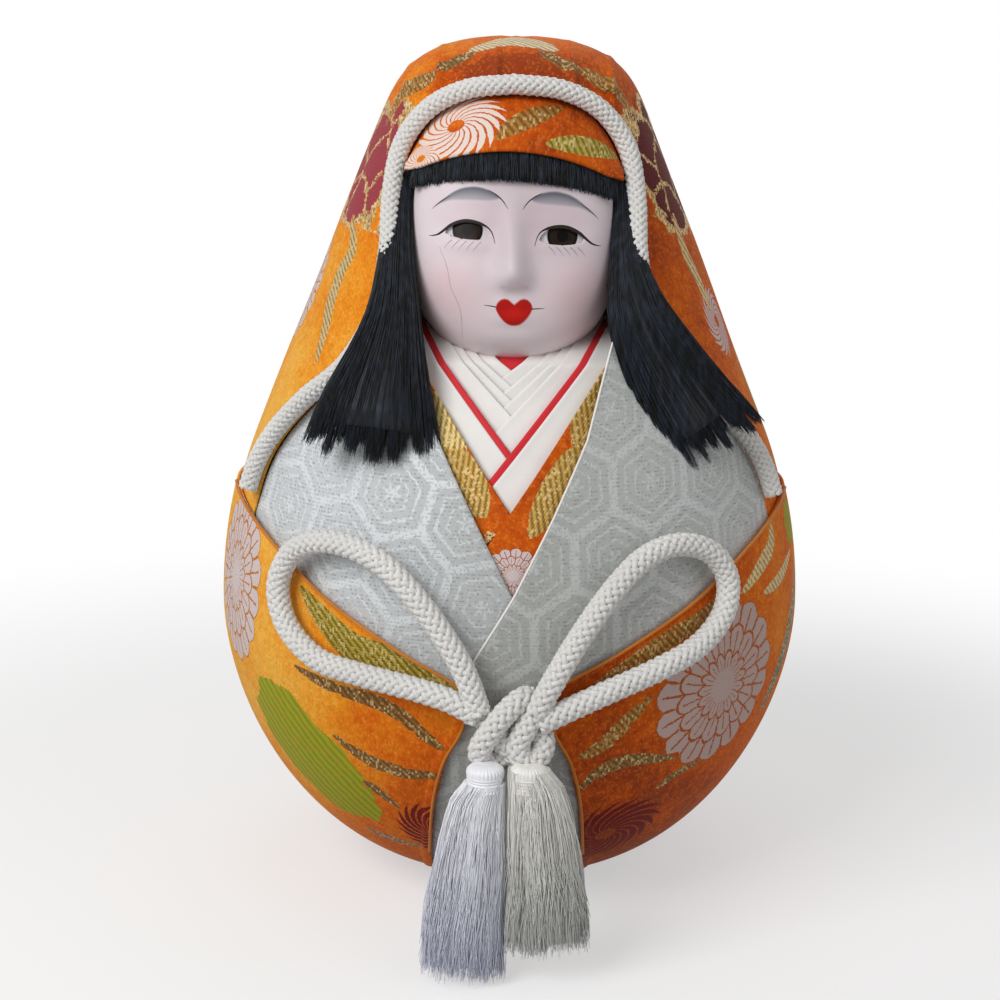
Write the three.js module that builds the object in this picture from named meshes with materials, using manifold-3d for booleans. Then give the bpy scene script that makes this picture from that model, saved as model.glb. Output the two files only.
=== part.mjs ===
// Hime daruma doll: a round papier-mache body dressed in brocade, with a set-in face mask, loose hair,
// a hood edged with cord, layered collars, a wrapped mantle and a cord bow with two tassels.
// Millimetres, +Z up. The doll faces -Y, and left and right are the viewer's. The origin is the middle of
// the felt that the doll stands on.
import * as THREE from "three";
import { mergeVertices } from "three/addons/utils/BufferGeometryUtils.js";
import Module from "manifold-3d";

const wasm = await Module();
wasm.setup();

// Fits
const GAP = 0.3;
const SEAT_ROOM = 1;

// Body form, measured over the cloth
const BODY_HEIGHT = 240;
const BELLY_RADIUS = 83.5;
const BELLY_HEIGHT = 80;
const SHOULDER_HEIGHT = 130;
const CROWN_RADIUS = 41.7;
const CROWN_RISE = 30;
const CROWN_SQUARENESS = 5;
const BASE_RADIUS = 24;
const BOWL_ROUNDNESS = 1.8;
const NECK_SINK = 4;
const NECK_SPREAD = 26;

// Facets: columns round the body, rows in the bowl, shoulder, cone and crown, and those of small pieces
const COLUMNS = 36;
const CORE_COLUMNS = COLUMNS / 2;
const BOWL_ROWS = 6;
const SHOULDER_ROWS = 3;
const CONE_ROWS = 5;
const CROWN_ROWS = 6;
const EYE_FACETS = [14, 9];
const EYE_OPENING_SIDES = 16;
const BROW_COLUMNS = 12;
const HEAD_CLOTH_COLUMNS = 16;
const HEAD_CLOTH_ROWS = 3;
const KNOT_FACETS = [8, 12];
const TASSEL_SIDES = 14;
const FRINGE_ROWS = 5;
const CORD_SIDES = 9;
const HOOD_CORD_STEPS = 44;
const LOOP_STEPS = 26;

// Papier-mache core, clay weight and base
const CORE_WALL = 3.4;
const FILL_HOLE_RADIUS = 12;
const CLAY_HEIGHT = 16;
const FELT_THICKNESS = 1.2;
const BOARD_THICKNESS = 1.2;
const BOARD_INSET = 2;
const HEM_TURN_IN = 5;

// Cloth
const CLOTH = 0.8;
const COLLAR_CLOTH = 0.5;
const ROBE_TUCK = 12;
const HEAD_CLOTH_TUCK = 3;
const HEAD_CLOTH_PUFF = 1.2;

// Hood opening: half-widths and drops from its top
const OPENING_DROP = 13.8;
const OPENING_EDGE = [
  [0, 0], [12, 1.6], [22, 7.2], [29.6, 17.2], [32.8, 30.2], [33.2, 44],
  [35.4, 59], [43.4, 73], [54, 83], [62.3, 93], [68, 103], [73, 116],
];
const TEMPLE_POINT = 4;
const HOOD_TUCK = 9;
const HOOD_CORD_DIAMETER = 5.6;

// Mantle: half-widths with the rise of its neckline above the tip, then the drop of its front slit
const MANTLE_TIP_HEIGHT = 75;
const NECKLINE = [[11, 0], [28, 9.5], [47, 20], [63, 31], [77, 40]];
const FRONT_SLIT = [[11, 10], [16, 21], [19, 35], [20.5, 55]];

// Face mask: half-width, heights over and under its middle, and its depth from the rim
const CHIN_DROP = 83;
const MASK_HALF_WIDTH = 27.5;
const MASK_UPPER = 40;
const MASK_LOWER = 27;
const MASK_DEPTH = 30;
const MASK_RIM_FRONT = 22;
const MASK_FULLNESS = 2.3;
const MASK_TILT = 0.16;
const MASK_WALL = 3;
const MASK_SPOKES = 24;
const MASK_RINGS = 7;
const POCKET_LEDGE = 1.2;
const POCKET_HALF_WIDTH = 33;
const EYE_SPACING = 24;
const EYE_RISE = 5;
const EYE_RADIUS = 6.5;
const EYE_SET = 1.4;
const EYE_OPENING = [14.5, 4.6];

// Relief of the face: middle across, height over the mask's middle, spread across and up, and height
const FACE_RELIEF = [
  { across: 0, up: -5, wide: 2.7, tall: 3.4, high: 3.4 },
  { across: 0, up: 2, wide: 2.2, tall: 6, high: 2.2 },
  { across: 0, up: -15.5, wide: 5, tall: 2.6, high: 1.3 },
  { across: 0, up: -23, wide: 7, tall: 4, high: 2 },
  { across: 13, up: -9, wide: 8, tall: 7, high: 1.2 },
  { across: -13, up: -9, wide: 8, tall: 7, high: 1.2 },
  { across: 12, up: 8.5, wide: 7, tall: 2.6, high: -0.9 },
  { across: -12, up: 8.5, wide: 7, tall: 2.6, high: -0.9 },
];

// Hair
const BANGS_TOP = 24.5;
const BANGS_EDGE = 17.4;
const BANGS_HALF_WIDTH = 26;
const BANGS_ARCH = 7.6;
const BANGS_CURVE = 2.4;
const BANGS_COVER = 2;
const BANGS_FRONT = 48.2;
const BANGS_THICKNESS = 2.2;
const BROW_ROUNDING = 13;
const BROW_HALF_WIDTH = 29;
const BROW_SLOPE = 0.42;
const HAIR_ROOM = 0.6;
const RIDGE_DEPTH = 0.1;
const LOCK_RIDGES = 8;

// Each lock's course: x, y, rise over the chin, half-width and half-thickness
const LOCK_LEFT = [
  [-28.6, -32, 46, 3, 2.2], [-28.8, -36.5, 37, 3.4, 2.6], [-29.3, -43.5, 24, 4.4, 3.4],
  [-30, -50, 11, 6.6, 4], [-32, -55.5, -1, 10.5, 4.6], [-34.5, -60, -13, 14.5, 4.6],
  [-36.4, -64, -26, 18, 4.4],
];
const LOCK_RIGHT = [
  [28.6, -32, 46, 3, 2.2], [28.8, -36.5, 37, 3.4, 2.6], [30, -43.5, 24, 4.8, 3.4],
  [33, -49.5, 11, 7.6, 4], [39.5, -52, -1, 10.5, 4.6], [47.5, -53, -13, 13, 4.6],
  [56.5, -52.5, -25.5, 15, 4.4],
];

// Collars: drop of the crossing below the chin, rise of the edge per millimetre, and widths
const UNDER_COLLAR = { drop: 2.5, rise: 0.56, width: 12 };
const PLEATS = [
  { drop: 6.4, rise: 0.66 },
  { drop: 9.4, rise: 0.76 },
  { drop: 12.8, rise: 0.86 },
  { drop: 16.8, rise: 0.96 },
];
const PLEAT_WIDTH = 10;
const RED_EDGE = { drop: 23.2, rise: 1.05, width: 1.7 };
const WHITE_COLLAR_WIDTH = 15;
const BROCADE_COLLAR = { drop: 36.5, rise: 1.38, width: 17 };
const COLLAR_OVERRUN = 8;
const BROCADE_OVERRUN = 15;
const COLLAR_REACH = 29;

// Robe lapels: edges as half-widths and drops below the chin, each from the neck down
const LAPEL_LEFT = [[34, -10], [27, 5], [-1, 57.8], [-12, 79], [-12, 100]];
const LAPEL_RIGHT = [
  [30, -14], [26, -1.6], [20, 19.4], [11, 38.3], [1, 57.8], [-10.4, 76.6], [-30, 112], [-30, 160],
];

// Bow, along the middle of its cord, and the knot and tassels
const BOW_CORD_DIAMETER = 6.6;
const LOOP_LEFT = [
  [-7, -89.5, 71.5], [-12, -88.5, 84], [-21.6, -84.5, 97.5], [-32.9, -79, 107.8], [-44.9, -72, 111.2],
  [-54.6, -65.6, 108.4], [-59.4, -63, 102], [-60.6, -63.2, 94.6], [-57.4, -66.8, 86.4], [-49.4, -73.4, 80.4],
  [-37.9, -80, 78.4], [-24.1, -85.5, 76.6], [-14.6, -88.4, 74.4], [-7, -89.5, 70.5],
];
const LOOP_RIGHT = [
  [7, -89.5, 71.5], [11.2, -88.6, 79.5], [18.1, -86.2, 91], [26.5, -82.4, 102.4], [34.8, -77.6, 109.8],
  [43.8, -72.3, 111.8], [52.2, -67.6, 108.4], [56.8, -65.6, 101], [55.6, -68.2, 92.2], [48.8, -73.8, 85.2],
  [38.4, -80, 80.8], [23.8, -85.5, 75.6], [13.4, -88.2, 71.4], [7, -89.5, 68.5],
];
const KNOT_HEIGHT = 66;
const KNOT_RADIUS = 6.4;
const KNOT_TILT = 42;
const KNOT_SPREAD = 3.6;
const KNOT_FLATNESS = 0.75;
const TASSEL_SPACING = 11;
const TASSEL_SETBACK = 3;
const TASSEL_STEM_RADIUS = 1.8;
const TASSEL_STEM_LENGTH = 3.6;
const TASSEL_HEAD_RADIUS = 4.8;
const TASSEL_HEAD_LENGTH = 7;
const TASSEL_NECK_RADIUS = 3.8;
const TASSEL_NECK_RISE = 2.5;
const TASSEL_KNOB_RISE = 4.6;
const FRINGE_RIDGES = 13;
const FRINGE_TOP = [4.4, 4.2];
const FRINGE_END = [11.4, 5.4];
const FRINGE_SWAY = 7;
const FRINGE_LEFT_CLEARANCE = 0.8;
const FRINGE_RIGHT_CLEARANCE = 4;

// Colours of cloth, hair, skin and cords
const ORANGE_BROCADE = { color: "#d8832b", roughness: 0.55, metalness: 0.1 };
const SILVER_BROCADE = { color: "#c6ccce", roughness: 0.5, metalness: 0.15 };
const WHITE_CLOTH = { color: "#ece9e3", roughness: 0.75, metalness: 0 };
const RED_CLOTH = { color: "#d63a40", roughness: 0.7, metalness: 0 };
const WHITE_CORD = { color: "#e8e4db", roughness: 0.6, metalness: 0 };
const WHITE_LACQUER = { color: "#ece3e6", roughness: 0.45, metalness: 0 };
const BLACK_HAIR = { color: "#12151b", roughness: 0.4, metalness: 0 };
const BLACK_GLASS = { color: "#1b120d", roughness: 0.08, metalness: 0 };
const PAPER = { color: "#b9a888", roughness: 0.9, metalness: 0 };
const CLAY = { color: "#8a6f58", roughness: 0.95, metalness: 0 };
const BOARD = { color: "#a98f6a", roughness: 0.9, metalness: 0 };
const FELT = { color: "#7c2b26", roughness: 0.95, metalness: 0 };

const REACH = 2 * BELLY_RADIUS;
const formBase = FELT_THICKNESS + BOARD_THICKNESS + 2 * GAP;
const crownBase = BODY_HEIGHT - CROWN_RISE;
const chinHeight = BODY_HEIGHT - CHIN_DROP;
const maskMiddle = chinHeight + MASK_LOWER;
const openingTop = BODY_HEIGHT - OPENING_DROP;
const mantleTop = MANTLE_TIP_HEIGHT + NECKLINE.at(-1)[1];

// Closed meshes become solids for cutting, with their faces turned outwards.
function toSolid(geometry) {
  const bare = new THREE.BufferGeometry();
  bare.setAttribute("position", geometry.getAttribute("position"));
  bare.setIndex(geometry.getIndex());
  const merged = mergeVertices(bare, 1e-4);
  const positions = merged.getAttribute("position").array;
  const corners = Array.from(merged.getIndex().array);
  const point = (k) => new THREE.Vector3().fromArray(positions, 3 * corners[k]);
  const triangles = [];
  let volume = 0;
  for (let k = 0; k < corners.length; k += 3) {
    const ids = corners.slice(k, k + 3);
    if (new Set(ids).size < 3) continue;
    triangles.push(ids);
    volume += point(k).dot(point(k + 1).cross(point(k + 2)));
  }
  const facing = volume < 0 ? triangles.map((ids) => ids.reverse()) : triangles;
  const mesh = new wasm.Mesh({
    numProp: 3,
    vertProperties: new Float32Array(positions),
    triVerts: new Uint32Array(facing.flat()),
  });
  return new wasm.Manifold(mesh);
}

function toGeometry(solid) {
  const mesh = solid.getMesh();
  const geometry = new THREE.BufferGeometry();
  geometry.setAttribute("position", new THREE.BufferAttribute(mesh.vertProperties, 3));
  geometry.setIndex(new THREE.BufferAttribute(mesh.triVerts, 1));
  geometry.computeVertexNormals();
  return geometry;
}

function meshSolid(points, quads, triangles = []) {
  const geometry = new THREE.BufferGeometry().setFromPoints(points);
  const split = quads.flatMap(([a, b, c, d]) => [a, b, c, a, c, d]);
  geometry.setIndex([...split, ...triangles.flat()]);
  return toSolid(geometry);
}

// Radius of the dressed body at a height: bowl, rounded shoulder, straight cone tangent to it, and crown.
const run = (crownBase - SHOULDER_HEIGHT) / (SHOULDER_HEIGHT - BELLY_HEIGHT);
const rootTerm = CROWN_RADIUS ** 2 + 4 * BELLY_RADIUS ** 2 * (1 + run) * run;
const shoulderShare = (CROWN_RADIUS + Math.sqrt(rootTerm)) / (2 * BELLY_RADIUS * (1 + run));
const shoulderRound = (SHOULDER_HEIGHT - BELLY_HEIGHT) / Math.sqrt(1 - shoulderShare ** 2);
const coneSlope = (CROWN_RADIUS - BELLY_RADIUS * shoulderShare) / (crownBase - SHOULDER_HEIGHT);

function formRadius(z) {
  if (z <= BELLY_HEIGHT) {
    const depth = (BELLY_HEIGHT - z) / (BELLY_HEIGHT - formBase);
    const bowl = Math.max(0, 1 - Math.max(0, depth) ** BOWL_ROUNDNESS) ** (1 / BOWL_ROUNDNESS);
    return BASE_RADIUS + (BELLY_RADIUS - BASE_RADIUS) * bowl;
  }
  if (z <= SHOULDER_HEIGHT) return BELLY_RADIUS * Math.sqrt(1 - ((z - BELLY_HEIGHT) / shoulderRound) ** 2);
  const cone = CROWN_RADIUS + coneSlope * (z - crownBase);
  const climb = Math.max(0, (z - crownBase) / CROWN_RISE);
  return cone * Math.max(0, 1 - climb ** CROWN_SQUARENESS) ** (2 / CROWN_SQUARENESS);
}

// A point of the form moved along its normal; angle 0 is the front, and the neck is drawn in there.
function formPoint(angle, z, offset) {
  const step = 0.01;
  const above = formRadius(Math.min(z + step, BODY_HEIGHT));
  const below = formRadius(Math.max(z - step, formBase));
  const slope = (above - below) / (2 * step);
  const length = Math.hypot(1, slope);
  const radius = formRadius(z) + offset / length;
  const sink = NECK_SINK * Math.exp(-(((z - chinHeight) / NECK_SPREAD) ** 2));
  const front = Math.max(0, Math.cos(angle));
  return new THREE.Vector3(
    radius * Math.sin(angle),
    -radius * Math.cos(angle) + sink * front ** 2,
    z - (offset * slope) / length,
  );
}

function frontPoint(x, z, offset) {
  return formPoint(Math.asin(THREE.MathUtils.clamp(x / formRadius(z), -1, 1)), z, offset);
}

function formRows() {
  const rows = [];
  for (let i = 0; i < BOWL_ROWS; i++) {
    rows.push(BELLY_HEIGHT - (BELLY_HEIGHT - formBase) * Math.cos(((i / BOWL_ROWS) * Math.PI) / 2));
  }
  for (let i = 0; i < SHOULDER_ROWS; i++) {
    rows.push(THREE.MathUtils.lerp(BELLY_HEIGHT, SHOULDER_HEIGHT, i / SHOULDER_ROWS));
  }
  for (let i = 0; i < CONE_ROWS; i++) {
    rows.push(THREE.MathUtils.lerp(SHOULDER_HEIGHT, crownBase, i / CONE_ROWS));
  }
  for (let i = 0; i < CROWN_ROWS; i++) {
    rows.push(crownBase + CROWN_RISE * Math.sin(((i / CROWN_ROWS) * Math.PI) / 2));
  }
  return rows;
}

// The whole body form, grown or shrunk by an offset.
function formSolid(offset, columns = COLUMNS) {
  const rows = formRows();
  const points = rows.flatMap((z) =>
    Array.from({ length: columns }, (_, i) => formPoint((2 * Math.PI * i) / columns, z, offset)),
  );
  const top = points.push(new THREE.Vector3(0, 0, BODY_HEIGHT + offset)) - 1;
  const bottom = points.push(new THREE.Vector3(0, 0, points[0].z)) - 1;
  const quads = [];
  const fans = [];
  const last = (rows.length - 1) * columns;
  for (let i = 0; i < columns; i++) {
    const next = (i + 1) % columns;
    for (let row = 0; row < last; row += columns) {
      quads.push([row + i, row + next, row + columns + next, row + columns + i]);
    }
    fans.push([last + i, last + next, top], [next, i, bottom]);
  }
  return meshSolid(points, quads, fans);
}

// An outline of width and height, carried through the front half of the body.
function frontPrism(outline) {
  const shape = new THREE.Shape(outline.map(([x, z]) => new THREE.Vector2(x, z)));
  const geometry = new THREE.ExtrudeGeometry(shape, { depth: REACH, steps: 1, bevelEnabled: false });
  return toSolid(geometry.rotateX(Math.PI / 2));
}

function block(low, high) {
  const size = new THREE.Vector3().fromArray(high).sub(new THREE.Vector3().fromArray(low));
  const geometry = new THREE.BoxGeometry(size.x, size.y, size.z);
  geometry.translate((low[0] + high[0]) / 2, (low[1] + high[1]) / 2, (low[2] + high[2]) / 2);
  return toSolid(geometry);
}

const slab = (low, high) => block([-REACH, -REACH, low], [REACH, REACH, high]);

function disc(radius, low, high) {
  const geometry = new THREE.CylinderGeometry(radius, radius, high - low, COLUMNS);
  return toSolid(geometry.rotateX(Math.PI / 2).translate(0, 0, (low + high) / 2));
}

// Moves an open outline sideways by a distance, to its left as it runs.
function widen(points, distance) {
  return points.map(([x, z], i) => {
    const before = points[Math.max(i - 1, 0)];
    const after = points[Math.min(i + 1, points.length - 1)];
    const run = [after[0] - before[0], after[1] - before[1]];
    const length = Math.hypot(...run);
    return [x - (distance * run[1]) / length, z + (distance * run[0]) / length];
  });
}

// Both halves of an outline, from the half with positive widths.
const mirrored = (half) => [...half.filter(([x]) => x > 0).map(([x, z]) => [-x, z]).reverse(), ...half];

// The hood's opening: half of its edge from the top down, and the whole opening grown by a distance.
const openingCurve = new THREE.SplineCurve(
  OPENING_EDGE.map(([x, drop]) => new THREE.Vector2(x, openingTop - drop)),
);
const edgeSpans = OPENING_EDGE.length - 1;
const openingHalf = openingCurve.getPoints(2 * edgeSpans).map(({ x, y }) => [x, y]);

function openingOutline(grow) {
  const half = widen(openingHalf, grow);
  half[0][0] = 0;
  return mirrored([...half, [REACH, half.at(-1)[1]], [REACH, -REACH]]);
}

// The mantle's front: neckline and slit as one opening grown by a distance.
function mantleOpening(grow) {
  const slit = FRONT_SLIT.map(([x, drop]) => [x, MANTLE_TIP_HEIGHT - drop]).reverse();
  const neckline = NECKLINE.map(([x, rise]) => [x, MANTLE_TIP_HEIGHT + rise]);
  const edge = widen([[slit[0][0], -REACH], ...slit, ...neckline, [REACH, mantleTop]], -grow);
  return mirrored([...edge, [REACH, REACH + BODY_HEIGHT]]);
}

// Layers of cloth from the mantle inwards, each with its outer and inner offset from the form.
const layers = {};
let layerTop = 0;
function addLayer(name, thickness) {
  layers[name] = [layerTop, layerTop - thickness];
  layerTop -= thickness + GAP;
}
addLayer("mantle", CLOTH);
addLayer("outer_robe", CLOTH);
addLayer("inner_robe", CLOTH);
addLayer("brocade_right", CLOTH);
addLayer("brocade_left", CLOTH);
addLayer("white_right", COLLAR_CLOTH);
addLayer("white_left", COLLAR_CLOTH);
for (let i = PLEATS.length; i >= 1; i--) {
  addLayer(`pleat_${i}_right`, COLLAR_CLOTH);
  addLayer(`pleat_${i}_left`, COLLAR_CLOTH);
}
addLayer("under_collar", COLLAR_CLOTH);
const collarFloor = layerTop;

// Cloth of one layer, cut to the outlines that bound it.
function cutCloth(layer, ...outlines) {
  const [outer, inner] = layers[layer];
  let cloth = formSolid(outer);
  for (const outline of outlines) cloth = cloth.intersect(frontPrism(outline));
  return cloth.subtract(formSolid(inner));
}

const group = new THREE.Group();

function add(name, solid, finish, parent = group) {
  const mesh = new THREE.Mesh(toGeometry(solid), new THREE.MeshStandardMaterial(finish));
  mesh.name = name;
  parent.add(mesh);
}

// Base: felt, board and the clay that keeps the doll upright
const boardLow = FELT_THICKNESS + GAP;
add("base_felt", disc(BASE_RADIUS, 0, FELT_THICKNESS), FELT);
add("base_board", disc(BASE_RADIUS - BOARD_INSET, boardLow, boardLow + BOARD_THICKNESS), BOARD);

const coreTop = layers.mantle[1] - GAP;
const cavity = coreTop - CORE_WALL;
const clayTop = formBase - cavity + CLAY_HEIGHT;
add("clay_weight", formSolid(cavity - GAP, CORE_COLUMNS).intersect(slab(0, clayTop)), CLAY);

// Face mask: depth of its front at a point, measured from the mask's middle
function maskShare(x, up) {
  const height = up > 0 ? MASK_UPPER : MASK_LOWER;
  return Math.abs(x / MASK_HALF_WIDTH) ** MASK_FULLNESS + Math.abs(up / height) ** MASK_FULLNESS;
}

function faceRelief(x, up) {
  return FACE_RELIEF.reduce((sum, part) => {
    const far = ((x - part.across) / part.wide) ** 2 + ((up - part.up) / part.tall) ** 2;
    return sum + part.high * Math.exp(-far / 2);
  }, 0);
}

function maskFront(x, up, grow) {
  const swell = Math.max(0, 1 - maskShare(x, up)) ** (1 / MASK_FULLNESS);
  return MASK_RIM_FRONT + swell * (MASK_DEPTH - MASK_TILT * up + faceRelief(x, up) + grow);
}

// A skin of the mask on rings and spokes, with its middle point last.
function maskSkin(grow) {
  const points = [];
  for (let ring = 1; ring <= MASK_RINGS; ring++) {
    const share = Math.sin(((ring / MASK_RINGS) * Math.PI) / 2);
    for (let spoke = 0; spoke < MASK_SPOKES; spoke++) {
      const angle = (2 * Math.PI * spoke) / MASK_SPOKES;
      const bend = (value) => Math.sign(value) * Math.abs(value) ** (2 / MASK_FULLNESS);
      const up = bend(Math.sin(angle)) * share * (Math.sin(angle) > 0 ? MASK_UPPER : MASK_LOWER);
      const x = bend(Math.cos(angle)) * share * MASK_HALF_WIDTH;
      const spread = 1 + grow / MASK_HALF_WIDTH;
      points.push(new THREE.Vector3(x * spread, -maskFront(x, up, grow), maskMiddle + up * spread));
    }
  }
  points.push(new THREE.Vector3(0, -maskFront(0, 0, grow), maskMiddle));
  return points;
}

function maskSolid(grow) {
  const points = maskSkin(grow);
  const middle = points.length - 1;
  const rim = (MASK_RINGS - 1) * MASK_SPOKES;
  const back = points.push(new THREE.Vector3(0, -MASK_RIM_FRONT, maskMiddle)) - 1;
  const quads = [];
  const fans = [];
  for (let i = 0; i < MASK_SPOKES; i++) {
    const next = (i + 1) % MASK_SPOKES;
    for (let ring = 0; ring < rim; ring += MASK_SPOKES) {
      quads.push([ring + i, ring + next, ring + MASK_SPOKES + next, ring + MASK_SPOKES + i]);
    }
    fans.push([middle, next, i], [back, rim + i, rim + next]);
  }
  return meshSolid(points, quads, fans);
}

function eyeBall(side, grow) {
  const x = (side * EYE_SPACING) / 2;
  const middle = maskFront(x, EYE_RISE, 0) - EYE_RADIUS - EYE_SET;
  const ball = new THREE.SphereGeometry(EYE_RADIUS + grow, ...EYE_FACETS);
  return toSolid(ball.translate(x, -middle, maskMiddle + EYE_RISE));
}

function eyeOpening(side) {
  const [wide, tall] = EYE_OPENING;
  const ellipse = new THREE.EllipseCurve((side * EYE_SPACING) / 2, maskMiddle + EYE_RISE, wide / 2, tall / 2);
  return frontPrism(ellipse.getPoints(EYE_OPENING_SIDES).slice(1).map(({ x, y }) => [x, y]));
}

const maskRoom = maskSolid(GAP);
let mask = maskSolid(0).subtract(maskSolid(-MASK_WALL));
for (const side of [-1, 1]) mask = mask.subtract(eyeBall(side, GAP)).subtract(eyeOpening(side));
add("face_mask", mask, WHITE_LACQUER);
for (const [side, name] of [[-1, "eye_left"], [1, "eye_right"]]) add(name, eyeBall(side, 0), BLACK_GLASS);

// Core: two halves of a hollow shell, with seats for the hood, robe, collars and mask
const [, , seatOuter, seatLow] = collarBand(1, BROCADE_COLLAR, 0, BROCADE_OVERRUN);
const collarSeat = mirrored([
  [BROCADE_OVERRUN + GAP, seatLow[1] - GAP],
  [seatOuter[0] + GAP, seatOuter[1] - GAP],
  [seatOuter[0] + GAP, maskMiddle],
]);
const pocketLow = chinHeight - MASK_WALL;

function maskPocket(grow) {
  const sides = POCKET_HALF_WIDTH + grow;
  const room = block([-sides, -REACH, pocketLow - grow], [sides, GAP - MASK_RIM_FRONT + grow, BODY_HEIGHT]);
  return room.intersect(frontPrism(openingOutline(grow - POCKET_LEDGE)));
}

function sunkSeat(outline, offset) {
  return frontPrism(outline).subtract(formSolid(offset, CORE_COLUMNS));
}

// The robe's seat is carried round both sides, where its edge runs along the widest part of the body.
function sideSeats(offset) {
  const [inner, topDrop] = OPENING_EDGE.at(-3);
  const low = mantleTop - 2 * HOOD_TUCK;
  const high = openingTop - topDrop;
  const front = block([-inner, -REACH, low - 1], [inner, REACH, high + 1]);
  const room = block([-REACH, -REACH, low], [REACH, 0, high]);
  return room.subtract(front).subtract(formSolid(offset, CORE_COLUMNS));
}

function coreShell() {
  const robeFloor = layers.inner_robe[1] - GAP;
  const hoodFloor = layers.outer_robe[1] - GAP;
  const wall = CORE_WALL + GAP;
  const robeRoom = frontPrism(mantleOpening(ROBE_TUCK + SEAT_ROOM));
  const hollow = formSolid(cavity, CORE_COLUMNS)
    .subtract(sunkSeat(widen(collarSeat, -wall), collarFloor - wall))
    .subtract(maskPocket(wall));
  const hoodLow = mantleTop - HOOD_TUCK - GAP;
  const hoodSeat = slab(hoodLow, BODY_HEIGHT + REACH).subtract(formSolid(hoodFloor, CORE_COLUMNS));
  return formSolid(coreTop, CORE_COLUMNS)
    .subtract(hoodSeat)
    .subtract(sunkSeat(openingOutline(HEAD_CLOTH_TUCK + SEAT_ROOM), robeFloor).intersect(robeRoom))
    .subtract(sideSeats(robeFloor))
    .subtract(sunkSeat(collarSeat, collarFloor).intersect(frontPrism(openingOutline(0))))
    .subtract(maskPocket(0))
    .subtract(hollow)
    .subtract(disc(FILL_HOLE_RADIUS, 0, formBase + 2 * CORE_WALL + GAP));
}

const core = coreShell();
add("core_front", core.intersect(block([-REACH, -REACH, 0], [REACH, -GAP / 2, 2 * BODY_HEIGHT])), PAPER);
add("core_back", core.intersect(block([-REACH, GAP / 2, 0], [REACH, REACH, 2 * BODY_HEIGHT])), PAPER);

// Collars: strips on both sides of the neck, each crossing over the one before
function collarBand(side, { drop, rise, width }, start, overrun) {
  const slope = Math.hypot(1, rise);
  const crossing = chinHeight - drop;
  const edge = [-overrun, COLLAR_REACH].map((u) => [u, crossing + rise * u]);
  const shift = (distance) => edge.map(([u, z]) => [u + (distance * rise) / slope, z - distance / slope]);
  return [...shift(start), ...shift(start + width).reverse()].map(([u, z]) => [side * u, z]);
}

function addCollar(name, layer, outline, finish) {
  const band = cutCloth(layer, outline, openingOutline(-GAP));
  add(name, band.subtract(maskRoom), finish);
}

const [, underInner, underOuter, underLow] = collarBand(1, UNDER_COLLAR, 0, 0);
const underTip = [0, chinHeight - UNDER_COLLAR.drop];
const underBand = [underTip, ...mirrored([underLow, underOuter, underInner])];
addCollar("under_collar", "under_collar", underBand, RED_CLOTH);
for (const [side, hand] of [[-1, "left"], [1, "right"]]) {
  PLEATS.forEach((pleat, i) => {
    const outline = collarBand(side, { ...pleat, width: PLEAT_WIDTH }, 0, COLLAR_OVERRUN);
    addCollar(`pleat_collar_${i + 1}_${hand}`, `pleat_${i + 1}_${hand}`, outline, WHITE_CLOTH);
  });
  const white = { ...RED_EDGE, width: WHITE_COLLAR_WIDTH };
  const whiteStart = RED_EDGE.width + GAP;
  const redBand = collarBand(side, RED_EDGE, 0, COLLAR_OVERRUN);
  const whiteBand = collarBand(side, white, whiteStart, COLLAR_OVERRUN);
  addCollar(`red_collar_${hand}`, `white_${hand}`, redBand, RED_CLOTH);
  addCollar(`white_collar_${hand}`, `white_${hand}`, whiteBand, WHITE_CLOTH);
  const brocade = collarBand(side, BROCADE_COLLAR, 0, BROCADE_OVERRUN);
  addCollar(`brocade_collar_${hand}`, `brocade_${hand}`, brocade, ORANGE_BROCADE);
}

// Robe: two fronts inside the hood's edge, the right over the left, tucked under the mantle
function addRobe(name, layer, side, lapel) {
  const edge = lapel.map(([x, drop]) => [side * x, chinHeight - drop]);
  const [first, last] = [edge[0], edge.at(-1)];
  const outline = [...edge, [side * REACH, last[1]], [side * REACH, first[1]]];
  const cloth = cutCloth(layer, outline, openingOutline(-GAP), mantleOpening(ROBE_TUCK));
  add(name, cloth.subtract(maskRoom), SILVER_BROCADE);
}

addRobe("robe_left", "inner_robe", -1, LAPEL_LEFT);
addRobe("robe_right", "outer_robe", 1, LAPEL_RIGHT);

// Hood and mantle
const [hoodOuter, hoodInner] = layers.outer_robe;
const hood = formSolid(hoodOuter)
  .subtract(formSolid(hoodInner))
  .intersect(slab(mantleTop - HOOD_TUCK, BODY_HEIGHT + 1))
  .subtract(frontPrism(openingOutline(0)));
add("hood", hood, ORANGE_BROCADE);

const [mantleOuter, mantleInner] = layers.mantle;
const mantle = formSolid(mantleOuter)
  .subtract(formSolid(mantleInner))
  .intersect(slab(0, mantleTop))
  .subtract(frontPrism(mantleOpening(0)))
  .subtract(disc(BASE_RADIUS - HEM_TURN_IN, 0, formBase + 2 * CLOTH));
add("mantle", mantle, ORANGE_BROCADE);

// A cord: a round section carried along a curve
function cord(points, diameter, steps) {
  const section = new THREE.Shape();
  section.setFromPoints(
    Array.from({ length: CORD_SIDES }, (_, i) => {
      const angle = (2 * Math.PI * i) / CORD_SIDES;
      return new THREE.Vector2(Math.cos(angle), Math.sin(angle)).multiplyScalar(diameter / 2);
    }),
  );
  const path = new THREE.CatmullRomCurve3(points);
  return toSolid(new THREE.ExtrudeGeometry(section, { steps, extrudePath: path, bevelEnabled: false }));
}

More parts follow.
